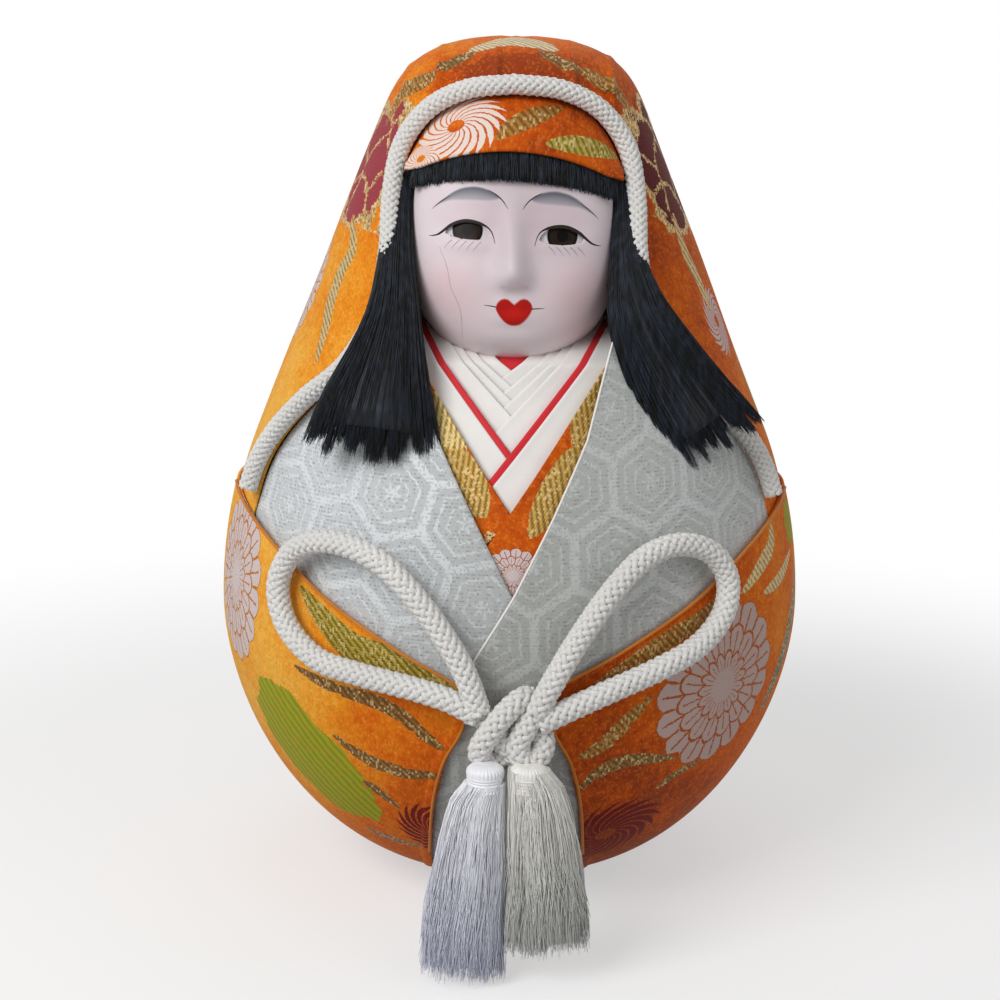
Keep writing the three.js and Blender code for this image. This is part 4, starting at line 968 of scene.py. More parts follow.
# Height of the peony and of the blade, by turns
HOOD_ROWS = [(142, 118), (196, 222)]
for place, degrees in enumerate(range(HOOD_BACK_START, HOOD_BACK_END, HOOD_BACK_STEP)):
    kind, colour, length, width = BACK_MOTIFS[(place + 1) % len(BACK_MOTIFS)]
    peony_high, blade_high = HOOD_ROWS[place % 2]
    HOOD_MOTIFS.append(on_form(PEONY, MAROON, degrees, peony_high, 18, 18))
    HOOD_MOTIFS.append(on_form(kind, colour, degrees + 14, 168, length * 0.8, width * 0.8, 20))
    HOOD_MOTIFS.append(on_form(BLADE, GOLD, degrees + 4, blade_high, 12, 4.5, -15))

hood_heights = np.concatenate([
    np.linspace(HOOD_LOW, HOOD_BROW, ROWS_BELOW_BROW, endpoint=False),
    np.linspace(HOOD_BROW, HOOD_CREST, ROWS_OVER_BROW, endpoint=False),
    HOOD_CREST + (HOOD_TOP - HOOD_CREST) * np.sin(np.linspace(0, 1, ROWS_ON_CREST) * math.pi / 2)])
hood_start = front_angle(opening_width(hood_heights), hood_heights)[:, None]
hood_share = np.linspace(0, 1, HOOD_COLUMNS)
hood_share = hood_share - FRONT_CROWDING * np.sin(2 * math.pi * hood_share) / (2 * math.pi)
hood_angles = hood_start + hood_share * (2 * math.pi - 2 * hood_start)
hood_plain = form_point(hood_angles, hood_heights[:, None], 0.0)
edge_climb = np.clip(hood_heights - OPENING_TOP + 2, 0, None)[:, None]
in_front = (hood_heights[:, None] > PLEAT_FOOT) * (hood_plain[..., 1] < 0)
fade = np.exp(-((edge_climb / PLEAT_LENGTH) ** 2)) * in_front
gathers = sum(high * np.exp(-(((hood_plain[..., 0] - x) / PLEAT_WIDTH) ** 2)) for x, high in PLEATS) * fade
slack = SLACK_RISE * np.sin(SLACK_FOLDS * hood_angles + hood_heights[:, None] / SLACK_LEAN)
slack = slack * np.sin(hood_heights[:, None] / SLACK_LENGTH)
hood_points = form_point(hood_angles, hood_heights[:, None], gathers + slack - HOOD_SINK)
hood_points[-1] = hood_points[-1].mean(axis=0)
hood_centred = np.where(hood_angles > math.pi, hood_angles - 2 * math.pi, hood_angles)
hood_places = cloth_place(hood_centred, hood_heights[:, None])
hood = cloth_panel("hood_brocade", hood_points, hood_places, ORANGE)
weave_motifs(hood, HOOD_MOTIFS, HOOD_RIBBONS)
with edited(hood.data) as seam:
    bmesh.ops.remove_doubles(seam, verts=seam.verts, dist=0.02 * MM)
settle(hood, "orange_brocade", "hood")
print("hood faces", len(hood.data.polygons))

# %% [markdown]
# ## Head cloth
# A strip of the same brocade bridges from the hair on the brow to the hood's edge, puffed out a little by
# padding. Its lower edge is an arch, and its upper edge is tucked under the hood's braid.

# %% Head cloth
MASK_MIDDLE = 184
BROW_HALF_WIDTH, BROW_ROUNDING, BROW_SLOPE = 29, 13, 0.42
BANGS_FRONT, BANGS_EDGE, BANGS_TOP = 48.2, 17.2, 27.6
BANGS_CUT, BANGS_CUT_TILT = 18.1, 0.05
HEAD_CLOTH_TILT = 0.035
BANGS_ARCH, BANGS_CURVE, BANGS_THICKNESS = 7.6, 4.6, 2.2
HEAD_CLOTH_COLUMNS, HEAD_CLOTH_ROWS = 97, 30
HEAD_CLOTH_PUFF, HEAD_CLOTH_TUCK, TUCK_FROM, TUCK_RUN = 1.2, 1, 25, 4
# How far its lower edge lies over the hair and in front of it, and its upper edge under the hood
HEAD_CLOTH_LAP, HEAD_CLOTH_GAP, HEAD_CLOTH_SINK = 2, 1.3, 2.2
HEAD_CLOTH_FULLNESS, HEAD_CLOTH_HEIGHT = 1.08, 14
TEMPLE_SHARE = 32.5


def brow_front(x, up):
    """How far the brow stands forward at a place measured from the mask's middle."""
    return BANGS_FRONT - BROW_ROUNDING * (x / BROW_HALF_WIDTH) ** 2 - BROW_SLOPE * (up - BANGS_EDGE)


cloth_share = np.linspace(-1, 1, HEAD_CLOTH_COLUMNS)
brow_x = cloth_share * BROW_HALF_WIDTH
brow_up = BANGS_TOP - HEAD_CLOTH_LAP - BANGS_ARCH * (brow_x / BROW_HALF_WIDTH) ** 2 - HEAD_CLOTH_TILT * brow_x
brow_up += HEAD_CLOTH_TUCK * np.clip((np.abs(brow_x) - TUCK_FROM) / TUCK_RUN, 0, 1)
low_front = brow_front(brow_x, brow_up) + BANGS_THICKNESS + HEAD_CLOTH_GAP
low_edge = np.stack([brow_x, -low_front, MASK_MIDDLE + brow_up], -1)
edge_index = np.abs(cloth_share) * TEMPLE_SHARE
edge_x = np.interp(edge_index, np.arange(len(opening)), opening[:, 0]) * np.sign(cloth_share)
edge_z = np.interp(edge_index, np.arange(len(opening)), opening[:, 1])
high_edge = form_point(front_angle(edge_x, edge_z), edge_z, -HEAD_CLOTH_SINK)
rise = np.linspace(0, 1, HEAD_CLOTH_ROWS)[:, None, None]
puff = HEAD_CLOTH_PUFF * np.sin(math.pi * rise)
head_points = low_edge + (high_edge - low_edge) * rise + np.array([0, -1, 1]) * puff
head_across, head_along = brow_x * HEAD_CLOTH_FULLNESS, rise[..., 0] * HEAD_CLOTH_HEIGHT
head_places = np.stack(np.broadcast_arrays(head_across, head_along), -1)
head_cloth = cloth_panel("head_cloth_brocade", head_points, head_places, ORANGE)


def on_head_cloth(kind, colour, x, share, length, width, turn=0):
    """A motif placed on the head cloth by its side distance and its share of the way up."""
    column = int(np.argmin(np.abs(brow_x - x)))
    row = int(share * (HEAD_CLOTH_ROWS - 1))
    side = head_points[row, column + 1] - head_points[row, column - 1]
    climb = head_points[row + 1, column] - head_points[row - 1, column]
    outwards = np.cross(side, climb)
    return kind, colour, head_points[row, column], unit(outwards), length, width, turn


weave_motifs(head_cloth, [
    on_head_cloth(WHIRL, BLUSH, -14, 0.5, 14.5, 12, 20), on_head_cloth(WHIRL, BLUSH, -24, 0.2, 8, 6, 20),
    on_head_cloth(BLADE, GOLD, 3, 0.5, 11.5, 3, 30), on_head_cloth(BLADE, OLIVE, 18, 0.32, 12, 3, -10),
])
settle(head_cloth, "orange_brocade", "head_cloth")
print("head cloth faces", len(head_cloth.data.polygons))

# %% [markdown]
# ## Silver robe
# The robe under the mantle is a silver-white brocade with tortoiseshell hexagons, each with a second line
# inside and a small flower. Flat silver thread gives the lines their shine, and a fine speckle comes from
# the threads that hold it down. The viewer's right front lies over the left one, and both lapels end in a
# thin white piping.

# %% Silver tortoiseshell brocade
HEXAGON_WIDTH = 22
HEXAGON_SLANT = (0.5, math.sqrt(3) / 2)
HEXAGON_LINES = [(0, "#000000"), (0.19, "#ffffff"), (0.215, "#000000"), (0.32, "#ffffff"), (0.355, "#000000"),
                 (0.445, "#ffffff")]
FLOWER_PETALS, FLOWER_SWING, FLOWER_RADIUS = 6, 0.05, 0.085
SILVER_THREAD, SILVER_CLOUD = 0.5, 30
# Painted shade: the cloth is darker towards the middle of the front
MIDDLE_SHADE_FROM, MIDDLE_SHADE_TO, MIDDLE_SHADE_MOST = 45, 5, 0.45


def hexagon_place(tree, place):
    """The place from the middle of the nearest hexagon, for hexagons of width 1."""
    half = (*HEXAGON_SLANT, 0.5)
    against = tuple(-c for c in half)
    shifted = node(tree, "VECTOR ADD", (place, half))
    wrapped = [node(tree, "VECTOR WRAP", (start, half, against)) for start in (place, shifted)]
    first, second = [node(tree, "VECTOR MULTIPLY", (spot, (1, 1, 0))) for spot in wrapped]
    lengths = [node(tree, "VECTOR LENGTH", (spot,)) for spot in (first, second)]
    nearer = node(tree, "GREATER_THAN", lengths)
    return node(tree, MIX, {0: nearer, 4: first, 5: second}, data_type="VECTOR")


def hexagon_lines(tree, spot):
    """1 on a hexagon's outline, on the lines inside it and on its flower, and 0 elsewhere."""
    folded = node(tree, "VECTOR ABSOLUTE", (spot,))
    slant = node(tree, "VECTOR DOT_PRODUCT", (folded, (*HEXAGON_SLANT, 0)))
    sideways = node(tree, SPLIT, (folded,)).outputs[0]
    rings = node(tree, RAMP, (node(tree, "MAXIMUM", (slant, sideways)),))
    rings.color_ramp.interpolation = "CONSTANT"
    set_tones(rings, HEXAGON_LINES)
    x, y, _ = node(tree, SPLIT, (spot,)).outputs
    petals = node(tree, "MULTIPLY", (node(tree, "ARCTAN2", (y, x)), float(FLOWER_PETALS)))
    reach = node(tree, "MULTIPLY_ADD", (node(tree, "COSINE", (petals,)), FLOWER_SWING, FLOWER_RADIUS))
    flower = node(tree, "LESS_THAN", (node(tree, "VECTOR LENGTH", (spot,)), reach))
    return node(tree, "MAXIMUM", (rings.outputs[0], flower))


def silver_brocade(name, turn, light, deep, line_tone):
    """Silver-white brocade: matte grey-white ground and glossy pale lines."""
    material, tree, shader, spot = new_material(name, Specular_IOR_Level=0.45)
    cloth = node(tree, UV_MAP, uv_map="cloth")
    thread = node(tree, "VECTOR SCALE", {0: cloth, "Scale": 1 / SILVER_THREAD})
    cell = node(tree, "VECTOR FLOOR", (thread,))
    speck = node(tree, "ShaderNodeTexWhiteNoise", {"Vector": cell}, noise_dimensions="2D")
    shaken = node(tree, "VECTOR SCALE", {0: speck.outputs["Color"], "Scale": 0.7})
    turned = node(tree, "ShaderNodeMapping", {"Vector": node(tree, "VECTOR ADD", (cloth, shaken)),
                                              "Rotation": (0, 0, math.radians(turn)),
                                              "Scale": (1 / HEXAGON_WIDTH,) * 3})
    line = hexagon_lines(tree, hexagon_place(tree, turned))
    line = node(tree, "MULTIPLY", (line, node(tree, "GREATER_THAN", (speck, 0.12))))

    # Every other weft is held down by darker threads here and there
    row = node(tree, "FLOORED_MODULO", (node(tree, SPLIT, (cell,)).outputs[1], 2.0))
    held_down = node(tree, RANGE, {"Value": speck, "From Min": 0.5, "To Max": 0.65})
    dark = node(tree, "MULTIPLY", (row, held_down))
    cloud = node(tree, NOISE, {"Vector": cloth, "Scale": 1 / SILVER_CLOUD}, noise_dimensions="2D")
    ground = node(tree, MIX, {0: cloud, MIX_A: deep, MIX_B: light})
    ground = node(tree, MIX, {0: dark, MIX_A: ground, MIX_B: "#7f8585"})
    thread = node(tree, MIX, {0: dark, MIX_A: line_tone, MIX_B: "#a3a8aa"})
    toned = node(tree, MIX, {0: line, MIX_A: ground, MIX_B: thread})
    # Painted shade: darker towards the middle of the front, less so on the lines
    side = node(tree, SPLIT, (spot,)).outputs[0]
    aside = node(tree, "ABSOLUTE", (side,))
    middle_shade = node(tree, RANGE, {"Value": aside, "From Min": MIDDLE_SHADE_FROM * MM, "From Max": MIDDLE_SHADE_TO * MM,
                                "To Max": MIDDLE_SHADE_MOST})
    spared = node(tree, "MULTIPLY_ADD", (line, -0.3, 1.0))
    middle_shade = node(tree, "MULTIPLY", (middle_shade, spared))
    toned = node(tree, MIX, {0: middle_shade, MIX_A: toned, MIX_B: "#83837a"})

    weave = node(tree, WAVE, {"Vector": cloth, "Scale": WAVE_BAND / SILVER_THREAD}, bands_direction="Y")
    weft = node(tree, "MULTIPLY", (weave.outputs["Fac"], speck))
    relief = node(tree, "MULTIPLY_ADD", (line, 0.9, weft))
    bump = node(tree, BUMP, {"Strength": 0.6, "Distance": 0.08 * MM, "Height": relief})
    rough = node(tree, "MULTIPLY_ADD", (line, -0.25, 0.6))
    fill(tree, shader, {"Base Color": toned, "Roughness": rough, "Normal": bump})
    return material


# The right front is the same silver brocade, turned, in darker tones: painted shade on the side away from the
# light
SILVER_LEFT = silver_brocade("silver_tortoiseshell_brocade_left", 78, "#d0d4d6", "#c4c8ca", "#dde1e4")
SILVER_RIGHT = silver_brocade("silver_tortoiseshell_brocade_right", 118, "#bfc1bf", "#b2b5b3", "#c8cbc9")
print("made", SILVER_LEFT.name)

# %% Robe fronts
LAPEL_LEFT = [(34, -10), (27, 5), (-1, 57.8), (-12, 79), (-12, 100)]
LAPEL_RIGHT = [
    (30, -14), (26, -1.6), (20, 19.4), (11, 38.3), (1, 57.8), (-10.4, 76.6), (-30, 112), (-30, 160),
]
# Lowest and highest row, and how far the cloth lies off the form
ROBE_LEFT_SPAN, ROBE_RIGHT_SPAN = (58, 166, -2.2), (6, 168, -1.1)
ROBE_TUCK = 18
ROBE_ROWS, ROBE_COLUMNS = 150, 80
PIPING, PIPING_FOOT, HEM_FOOT = 0.65, 62, 8


def tube(name, path, radius, material, sides=8):
    """A round tube along a path, closed at both ends."""
    along = unit(np.gradient(path, axis=0))
    first = unit(np.cross(along, (0.3, 0.2, 1.0)))
    second = np.cross(along, first)
    angles = round_angles(sides)
    rings = [path + radius * (math.cos(angle) * first + math.sin(angle) * second) for angle in angles]
    return loft(name, np.stack(rings, 1), material)


def robe_front(name, side, lapel, low, high, lift, material):
    """A robe front from its lapel to the hood's edge, tucked under the mantle, with piping on the lapel."""
    heights = np.linspace(low, high, ROBE_ROWS)
    edge = np.array(lapel)[::-1]
    lapel_x = side * np.interp(heights, CHIN_HEIGHT - edge[:, 1], edge[:, 0])
    tucked = np.where(heights < MANTLE_TOP, mantle_width(heights) + ROBE_TUCK, 1000)
    outer_x = side * np.minimum(np.minimum(opening_width(heights), tucked), 0.999 * form_radius(heights))
    ends = np.sort(front_angle(np.stack([lapel_x, outer_x]), heights), axis=0)
    angles = ends[0][:, None] + (ends[1] - ends[0])[:, None] * np.linspace(0, 1, ROBE_COLUMNS)
    points = form_point(angles, heights[:, None], lift)
    made = cloth_panel(name, points, cloth_place(angles, heights[:, None]), material)
    piping_path = form_point(front_angle(lapel_x, heights), heights, lift - 0.1)
    return made, piping_path


# %% [markdown]
# ## White and red silk
# The collars, the pleats and the piping are plain silk: white with a soft sheen, and a clear red for the
# thin edge.

# %% Plain silks
SILK_THREAD, SILK_CLOUD = 0.5, 9


def plain_silk(name, light, deep, sheen):
    """Plain-woven silk: fine threads both ways, brighter where they lie flat."""
    material, tree, shader, cloth = new_material(name, Sheen_Weight=sheen, Roughness=0.6,
                                                 Specular_IOR_Level=0.25)
    thread = {"Vector": cloth, "Scale": WAVE_BAND / (SILK_THREAD * MM), "Distortion": 0.4}
    threads = [node(tree, WAVE, thread, bands_direction=direction).outputs["Fac"] for direction in ("X", "Z")]
    woven = node(tree, "MULTIPLY", threads)
    cloud = node(tree, NOISE, {"Vector": cloth, "Scale": 1 / (SILK_CLOUD * MM)})
    tone = node(tree, MIX, {0: cloud, MIX_A: light, MIX_B: deep})
    bump = node(tree, BUMP, {"Strength": 0.25, "Distance": 0.08 * MM, "Height": woven})
    fill(tree, shader, {"Base Color": tone, "Normal": bump})
    return material


WHITE_SILK = plain_silk("white_plain_silk", "#f5f2ee", "#e9e6e3", 0.3)
RED_SILK = plain_silk("red_plain_silk", "#dd3038", "#c8222c", 0.1)
HEM_SILK = plain_silk("orange_hem_silk", "#d98a34", "#b8641c", 0.05)

robe_left, _ = robe_front("robe_left_brocade", -1, LAPEL_LEFT, *ROBE_LEFT_SPAN, SILVER_LEFT)
settle(robe_left, "silver_brocade", "robe_left")
robe_right, right_piping = robe_front("robe_right_brocade", 1, LAPEL_RIGHT, *ROBE_RIGHT_SPAN, SILVER_RIGHT)
settle(robe_right, "silver_brocade", "robe_right")
lapel_piping = tube("lapel_piping", right_piping[right_piping[:, 2] > PIPING_FOOT], PIPING / 2, WHITE_SILK)
settle(lapel_piping, "white_silk")
hem_x, hem_z = smooth_curve(mantle_edge[mantle_edge[:, 1] > HEM_FOOT], 14).T
hems = []
for hand, side in HANDS.items():
    hem_path = form_point(side * front_angle(hem_x + HEM_INSET, hem_z), hem_z, HEM_LIFT)
    hems.append(tube(f"mantle_hem_{hand}", hem_path, HEM_RADIUS, HEM_SILK))
    settle(hems[-1], "orange_brocade")
print("robe faces", len(robe_left.data.polygons), len(robe_right.data.polygons))

# %% [markdown]
# ## Collars
# Between the lapels lie the folded collars of the layers underneath: a brocade one, a white one with a red
# edge, four white pleats and a red edge under the chin. Each is a strip bent round the neck that crosses
# the one on the other side, so a strip is drawn from its edge line, its slope and its width, and leans back
# where it goes under the chin.

# %% Collars
COLLAR_REACH, COLLAR_CLOTH, LAYER_STEP = 27, 0.5, 0.8
COLLAR_ROWS, COLLAR_COLUMNS = 46, 14
FOLD_STEPS, FOLD_END = (0, 0.15, 0.4, 0.9), 1.6
FOLD_RISE, FOLD_WIDTH, FOLD_ROUNDING, FOLD_TURN = 0.35, 1.4, 0.4, 0.3
UNDER_LINE = (-5, 0.5)
PLEAT_LINES = [(0, 0.6), (4.2, 0.68), (8, 0.78), (12.2, 0.9)]
RED_LINE = (21.4, 1.12)
NECK_LEAN, NECK_FOOT = 2, 154.6
BROCADE_LINE = (36.5, 1.38)


def collar(name, side, line, start, width, overrun, lift, material, thickness=COLLAR_CLOTH):
    """A strip beside a slanting edge line, from its crossing up to the side of the neck."""
    drop, slope = line
    lean = math.hypot(1, slope)
    u = np.linspace(-overrun, COLLAR_REACH, COLLAR_ROWS)
    inward = np.concatenate([FOLD_STEPS, np.linspace(FOLD_END, width, COLLAR_COLUMNS)])
    across = start + inward
    x = u[:, None] + across * slope / lean
    z = CHIN_HEIGHT - drop + slope * u[:, None] - across / lean
    fold = np.exp(-((inward / FOLD_WIDTH) ** 2)) * np.clip(inward / FOLD_ROUNDING + FOLD_TURN, 0, 1)
    points = form_point(front_angle(side * x, z), z, lift + FOLD_RISE * fold)
    points[..., 1] += NECK_LEAN * np.clip(points[..., 2] - NECK_FOOT, 0, None)
    places = np.stack(np.broadcast_arrays(u[:, None] * lean, across), -1)
    if side < 0:
        points, places = points[:, ::-1], places[:, ::-1]
    return cloth_panel(name, points, places, material, thickness)


# Width and overrun past the crossing of each strip, and how far it lies under the form
PLEAT_SIZE, PLEAT_LIFT = (10, 8), -7.1
RED_SIZE, RED_LIFT = (1.7, 8), -5.4
WHITE_SIZE, WHITE_LIFT = (15, 8), -5.5
BROCADE_SIZE, BROCADE_LIFT = (17, 15), {"left": -4.4, "right": -3.3}
UNDER_SIZE, UNDER_LIFT = (14, 8), {"left": -14.1, "right": -13.5}
brocades = {}
for hand, side in HANDS.items():
    nearer = 0 if hand == "right" else -LAYER_STEP
    for number, line in enumerate(PLEAT_LINES, 1):
        lift = PLEAT_LIFT - 2 * LAYER_STEP * (len(PLEAT_LINES) - number) + nearer
        pleat = collar(f"pleat_{number}_{hand}_silk", side, line, 0, *PLEAT_SIZE, lift, WHITE_SILK)
        settle(pleat, "white_silk", f"pleat_collar_{number}_{hand}")
    red = collar(f"red_edge_{hand}_silk", side, RED_LINE, 0, *RED_SIZE, RED_LIFT + nearer, RED_SILK)
    settle(red, "red_silk", f"red_collar_{hand}")
    white = collar(f"white_collar_{hand}_silk", side, RED_LINE, RED_SIZE[0], *WHITE_SIZE, WHITE_LIFT + nearer,
                   WHITE_SILK)
    settle(white, "white_silk", f"white_collar_{hand}")
    brocade = collar(f"brocade_collar_{hand}_cloth", side, BROCADE_LINE, 0, *BROCADE_SIZE, BROCADE_LIFT[hand],
                     ORANGE, CLOTH)
    settle(brocade, "orange_brocade", f"brocade_collar_{hand}")
    brocades[hand] = brocade
for hand, side in HANDS.items():
    strip = collar(f"under_collar_{hand}_silk", side, UNDER_LINE, 0, *UNDER_SIZE, UNDER_LIFT[hand], RED_SILK)
    settle(strip, "red_silk", *(["under_collar"] if hand == "left" else []))


def on_collar(kind, colour, x, drop, length, width, turn):
    """A motif on a brocade collar, placed by its front view."""
    z = CHIN_HEIGHT - drop
    angle = float(front_angle(x, z))
    centre = form_point(angle, z, -3.5)
    outwards = form_point(angle, z, 0.0) - centre
    return kind, colour, centre, unit(outwards), length, width, turn


weave_motifs(brocades["left"], [
    on_collar(BLADE, OLD_GOLD, -13, 28, 12, 5.5, -56), on_collar(BLADE, BRIGHT_GOLD, -19, 15, 11, 5, -50),
    on_collar(PEONY, MAROON, -3, 46, 6, 6, 0),
])
weave_motifs(brocades["right"], [
    on_collar(BLADE, OLD_GOLD, 13, 30, 15, 4.4, 57), on_collar(BLADE, OLD_GOLD, 22, 10, 14, 4.4, 62),
    on_collar(PETAL, PALE, 1, 52, 8, 7, 0),
])
print("collars done")

# %% [markdown]
# ## Face
# The face is a pressed mask coated with gofun, a white ground of powdered shell, polished to a satin skin
# and painted. The surface is a rounded oval with the nose, lips and cheeks raised on it. The painting is
# stored in the mesh's points, which lie close enough together to draw a brow or a lip, so its outlines can
# be written as curves in millimetres.

# %% Face skin
MASK_HALF_WIDTH, MASK_UPPER, MASK_LOWER = 28.6, 40, 31.5
MASK_DEPTH, MASK_RIM, MASK_TILT = 30, 22, 0.16
MASK_FULLNESS, MASK_FLATNESS = 2.3, 3.4
FACE_RINGS, FACE_SPOKES = 185, 430
# Raised and sunken places: beside and above the middle, width, height and rise
FACE_RELIEF = [
    (0, -5, 3.1, 3.6, 3.6), (0, 2, 2.4, 6, 2.2), (0, -15.5, 5, 2.6, 0.6), (0, -23, 7, 4, 1.2),
    (0, -10, 1.2, 1.6, -0.3), (0, -19.8, 4, 1.2, -0.2), (0, -17, 2.8, 1.6, 0.45),
]
PAIRED_RELIEF = [
    (13, -9, 8, 7, 1.2), (12, 8.5, 7, 2.6, -0.9), (3.2, -6.6, 1.7, 1.7, 0.45), (2.4, -13, 1.8, 1.1, 0.35),
    (12, 8.2, 5.5, 1.5, 0.7), (12, 1.6, 5.5, 1.4, 0.5),
]
for x, up, wide, tall, high in PAIRED_RELIEF:
    FACE_RELIEF += [(x, up, wide, tall, high), (-x, up, wide, tall, high)]
EYE_PLACE = (12.3, 4.6)
EYE_REACH = 6.2
PAINT_SHIFT, PAINT_TILT = 0.4, 0.05
UPPER_LID = [(-6, -1.3), (-5.2, 0.3), (-3.4, 1.5), (-0.9, 1.95), (1.6, 1.75), (4.1, 0.8), (5.9, -0.9)]
LOWER_LID = [(-6, -1.3), (-3.6, -2.1), (0, -2.3), (3.6, -1.9), (5.9, -0.9)]
LID_SNAP, LID_CLEAR = 0.15, 0.02


def face_front(x, up):
    """How far the painted face stands forward."""
    height = np.where(up > 0, MASK_UPPER, MASK_LOWER)
    share = np.abs(x / MASK_HALF_WIDTH) ** MASK_FULLNESS + np.abs(up / height) ** MASK_FULLNESS
    swell = np.clip(1 - share, 0, 1) ** (1 / MASK_FLATNESS)
    relief = sum(high * np.exp(-(((x - a) / wide) ** 2 + ((up - b) / tall) ** 2) / 2)
                 for a, b, wide, tall, high in FACE_RELIEF)
    return MASK_RIM + swell * (MASK_DEPTH - MASK_TILT * up + relief)


def lid_heights(x):
    """Upper and lower edge of the eye at a place, as heights over the mask's middle."""
    outward = np.abs(x - PAINT_SHIFT) - EYE_PLACE[0]
    level = EYE_PLACE[1] - PAINT_TILT * (x - PAINT_SHIFT)
    return [level + np.interp(outward, *smooth_curve(lid, 8).T) for lid in (UPPER_LID, LOWER_LID)]


ring_share = np.sin(np.linspace(0, 1, FACE_RINGS + 1)[1:] * math.pi / 2)[:, None]
spokes = round_angles(FACE_SPOKES)
spoke_x, spoke_up = [np.sign(share) * np.abs(share) ** (2 / MASK_FULLNESS)
                     for share in (np.cos(spokes), np.sin(spokes))]
face_x = spoke_x * ring_share * MASK_HALF_WIDTH
face_up = spoke_up * ring_share * np.where(spoke_up > 0, MASK_UPPER, MASK_LOWER)
lids = lid_heights(face_x)
on_eye = np.abs(np.abs(face_x - PAINT_SHIFT) - EYE_PLACE[0]) < EYE_REACH
for lid in lids:
    close = on_eye & (np.abs(face_up - lid) < LID_SNAP)
    face_up = np.where(close, lid, face_up)
in_eye = on_eye & (face_up < lids[0] - LID_CLEAR) & (face_up > lids[1] + LID_CLEAR)
face_points = np.stack([face_x, -face_front(face_x, face_up), MASK_MIDDLE + face_up], -1).reshape(-1, 3)
rings = np.arange(FACE_RINGS * FACE_SPOKES).reshape(FACE_RINGS, FACE_SPOKES)
turned = np.roll(rings, -1, axis=1)
face_quads = np.stack([rings[:-1], turned[:-1], turned[1:], rings[1:]], -1).reshape(-1, 4)
face_quads = face_quads[~in_eye.ravel()[face_quads].any(axis=1)]
middle_point = np.array([[0, -face_front(0.0, 0.0), MASK_MIDDLE]])
back_point = np.array([[0, -MASK_RIM, MASK_MIDDLE]])
face_points = np.vstack([face_points, middle_point, back_point])
middle_fan = [(FACE_RINGS * FACE_SPOKES, turned[0, k], rings[0, k]) for k in range(FACE_SPOKES)]
back_fan = [(FACE_RINGS * FACE_SPOKES + 1, rings[-1, k], turned[-1, k]) for k in range(FACE_SPOKES)]
print("face points", len(face_points))

# %% [markdown]
# ## Face paint
# Each soft part is a shape laid over the white: pink cheeks, grey-blue brows that darken to their upper
# edge, and heart-shaped red lips. The doll was painted by hand, a little to one side and a little out of
# level, and so is this.

# %% Face paint
SHELL_WHITE = "#f2e7ea"
paint_x, paint_up = face_points[:, 0] - PAINT_SHIFT, face_points[:, 2] - MASK_MIDDLE
paint = np.tile(linear(SHELL_WHITE)[:3], (len(face_points), 1))


def lay(coverage, code):
    """Lays a colour over the paint by its coverage from 0 to 1."""
    share = np.clip(coverage, 0, 1)[:, None]
    paint[:] = paint * (1 - share) + np.array(linear(code)[:3]) * share


def lay_patch(cover, x, up, wide, tall, code, within=1.0):
    """Lays a soft round patch within a share of the face, for blush, lip colour and painted shade."""
    spread = np.exp(-(((paint_x - x) / wide) ** 2 + ((paint_up - up) / tall) ** 2))
    lay(cover * spread * within, code)


# Soft paint: its coverage, its place beside and above the middle, its width and height, and its colour
# Painted shade: a grey wash that darkens the middle of the face, under the bangs
PAINTED_FACE_SHADE = (0.85, 0, 7, 20, 20, "#cdc2c7")
SIDE_PAINT = [
    (0.32, 17, -11, 9, 9, "#e0a0a6"), (0.35, 13.3, 9.2, 8, 2.6, "#cfb0b6"), (0.3, 5, 8, 3, 6, "#cdb4b8"),
    (0.35, 3, -8.8, 0.9, 0.5, "#c79a9e"),
]
# Painted shadow under the nose
PAINTED_NOSE_SHADOW = (0.3, 0.4, -9.4, 4.2, 0.9, "#b79aa0")
LIP_GLOW = (0.7, 0.3, -16, 3, 2, "#dc1c0a")
BROW_TOP = [
    (2, 11), (3.3, 12.7), (5, 14.1), (7, 15.2), (9.7, 15.75), (12, 15.6), (14.5, 14.9), (17.1, 13.3),
    (21.3, 9.7),
]
BROW_FOOT = [(4, 13.3), (5, 12.7), (6.9, 12.4), (10, 12.3), (13.6, 12.1), (17.3, 11.6), (21.3, 9.7)]
LIP_EDGE = [
    (0, -13.4, -19.1), (0.7, -12.8, -19.05), (1.5, -12.1, -18.8), (2.5, -11.85, -18.1),
    (3.4, -12.1, -17.1), (4.1, -12.7, -16.1), (4.6, -13.5, -15.1), (4.8, -14.3, -14.4),
]
level_up = paint_up + PAINT_TILT * paint_x
aside = np.abs(paint_x)
brow_high = np.interp(aside, *smooth_curve(BROW_TOP, 8).T)
brow_low = np.interp(aside, *smooth_curve(BROW_FOOT, 8).T)
brow_room = np.minimum(brow_high - level_up, level_up - brow_low)
brow = np.clip(brow_room / 0.5 + 0.3, 0, 1) * (aside > BROW_FOOT[0][0]) * (aside < BROW_FOOT[-1][0])
brow_climb = np.clip((level_up - brow_low) / np.maximum(brow_high - brow_low, 0.2), 0, 1)

lay_patch(*PAINTED_FACE_SHADE)
for side in HANDS.values():
    for cover, x, *spread in SIDE_PAINT:
        lay_patch(cover, side * x, *spread)
lay_patch(*PAINTED_NOSE_SHADOW)
lay(0.85 * brow * (0.55 + 0.45 * brow_climb), "#7c838e")
lay(0.9 * brow * brow_climb ** 1.5, "#3c424b")

lip_x, lip_top, lip_low = np.array(LIP_EDGE).T
lips = np.maximum(paint_up - np.interp(aside, lip_x, lip_top), np.interp(aside, lip_x, lip_low) - paint_up)
lip_cover = np.clip(0.5 - np.maximum(lips, aside - lip_x[-1]) / 0.35, 0, 1)
lay(lip_cover, "#b80d05")
lay_patch(*LIP_GLOW, within=lip_cover)


DUST_SIZE, AGE_SIZE = 0.8, 14
LID_DEPTH = 1.6


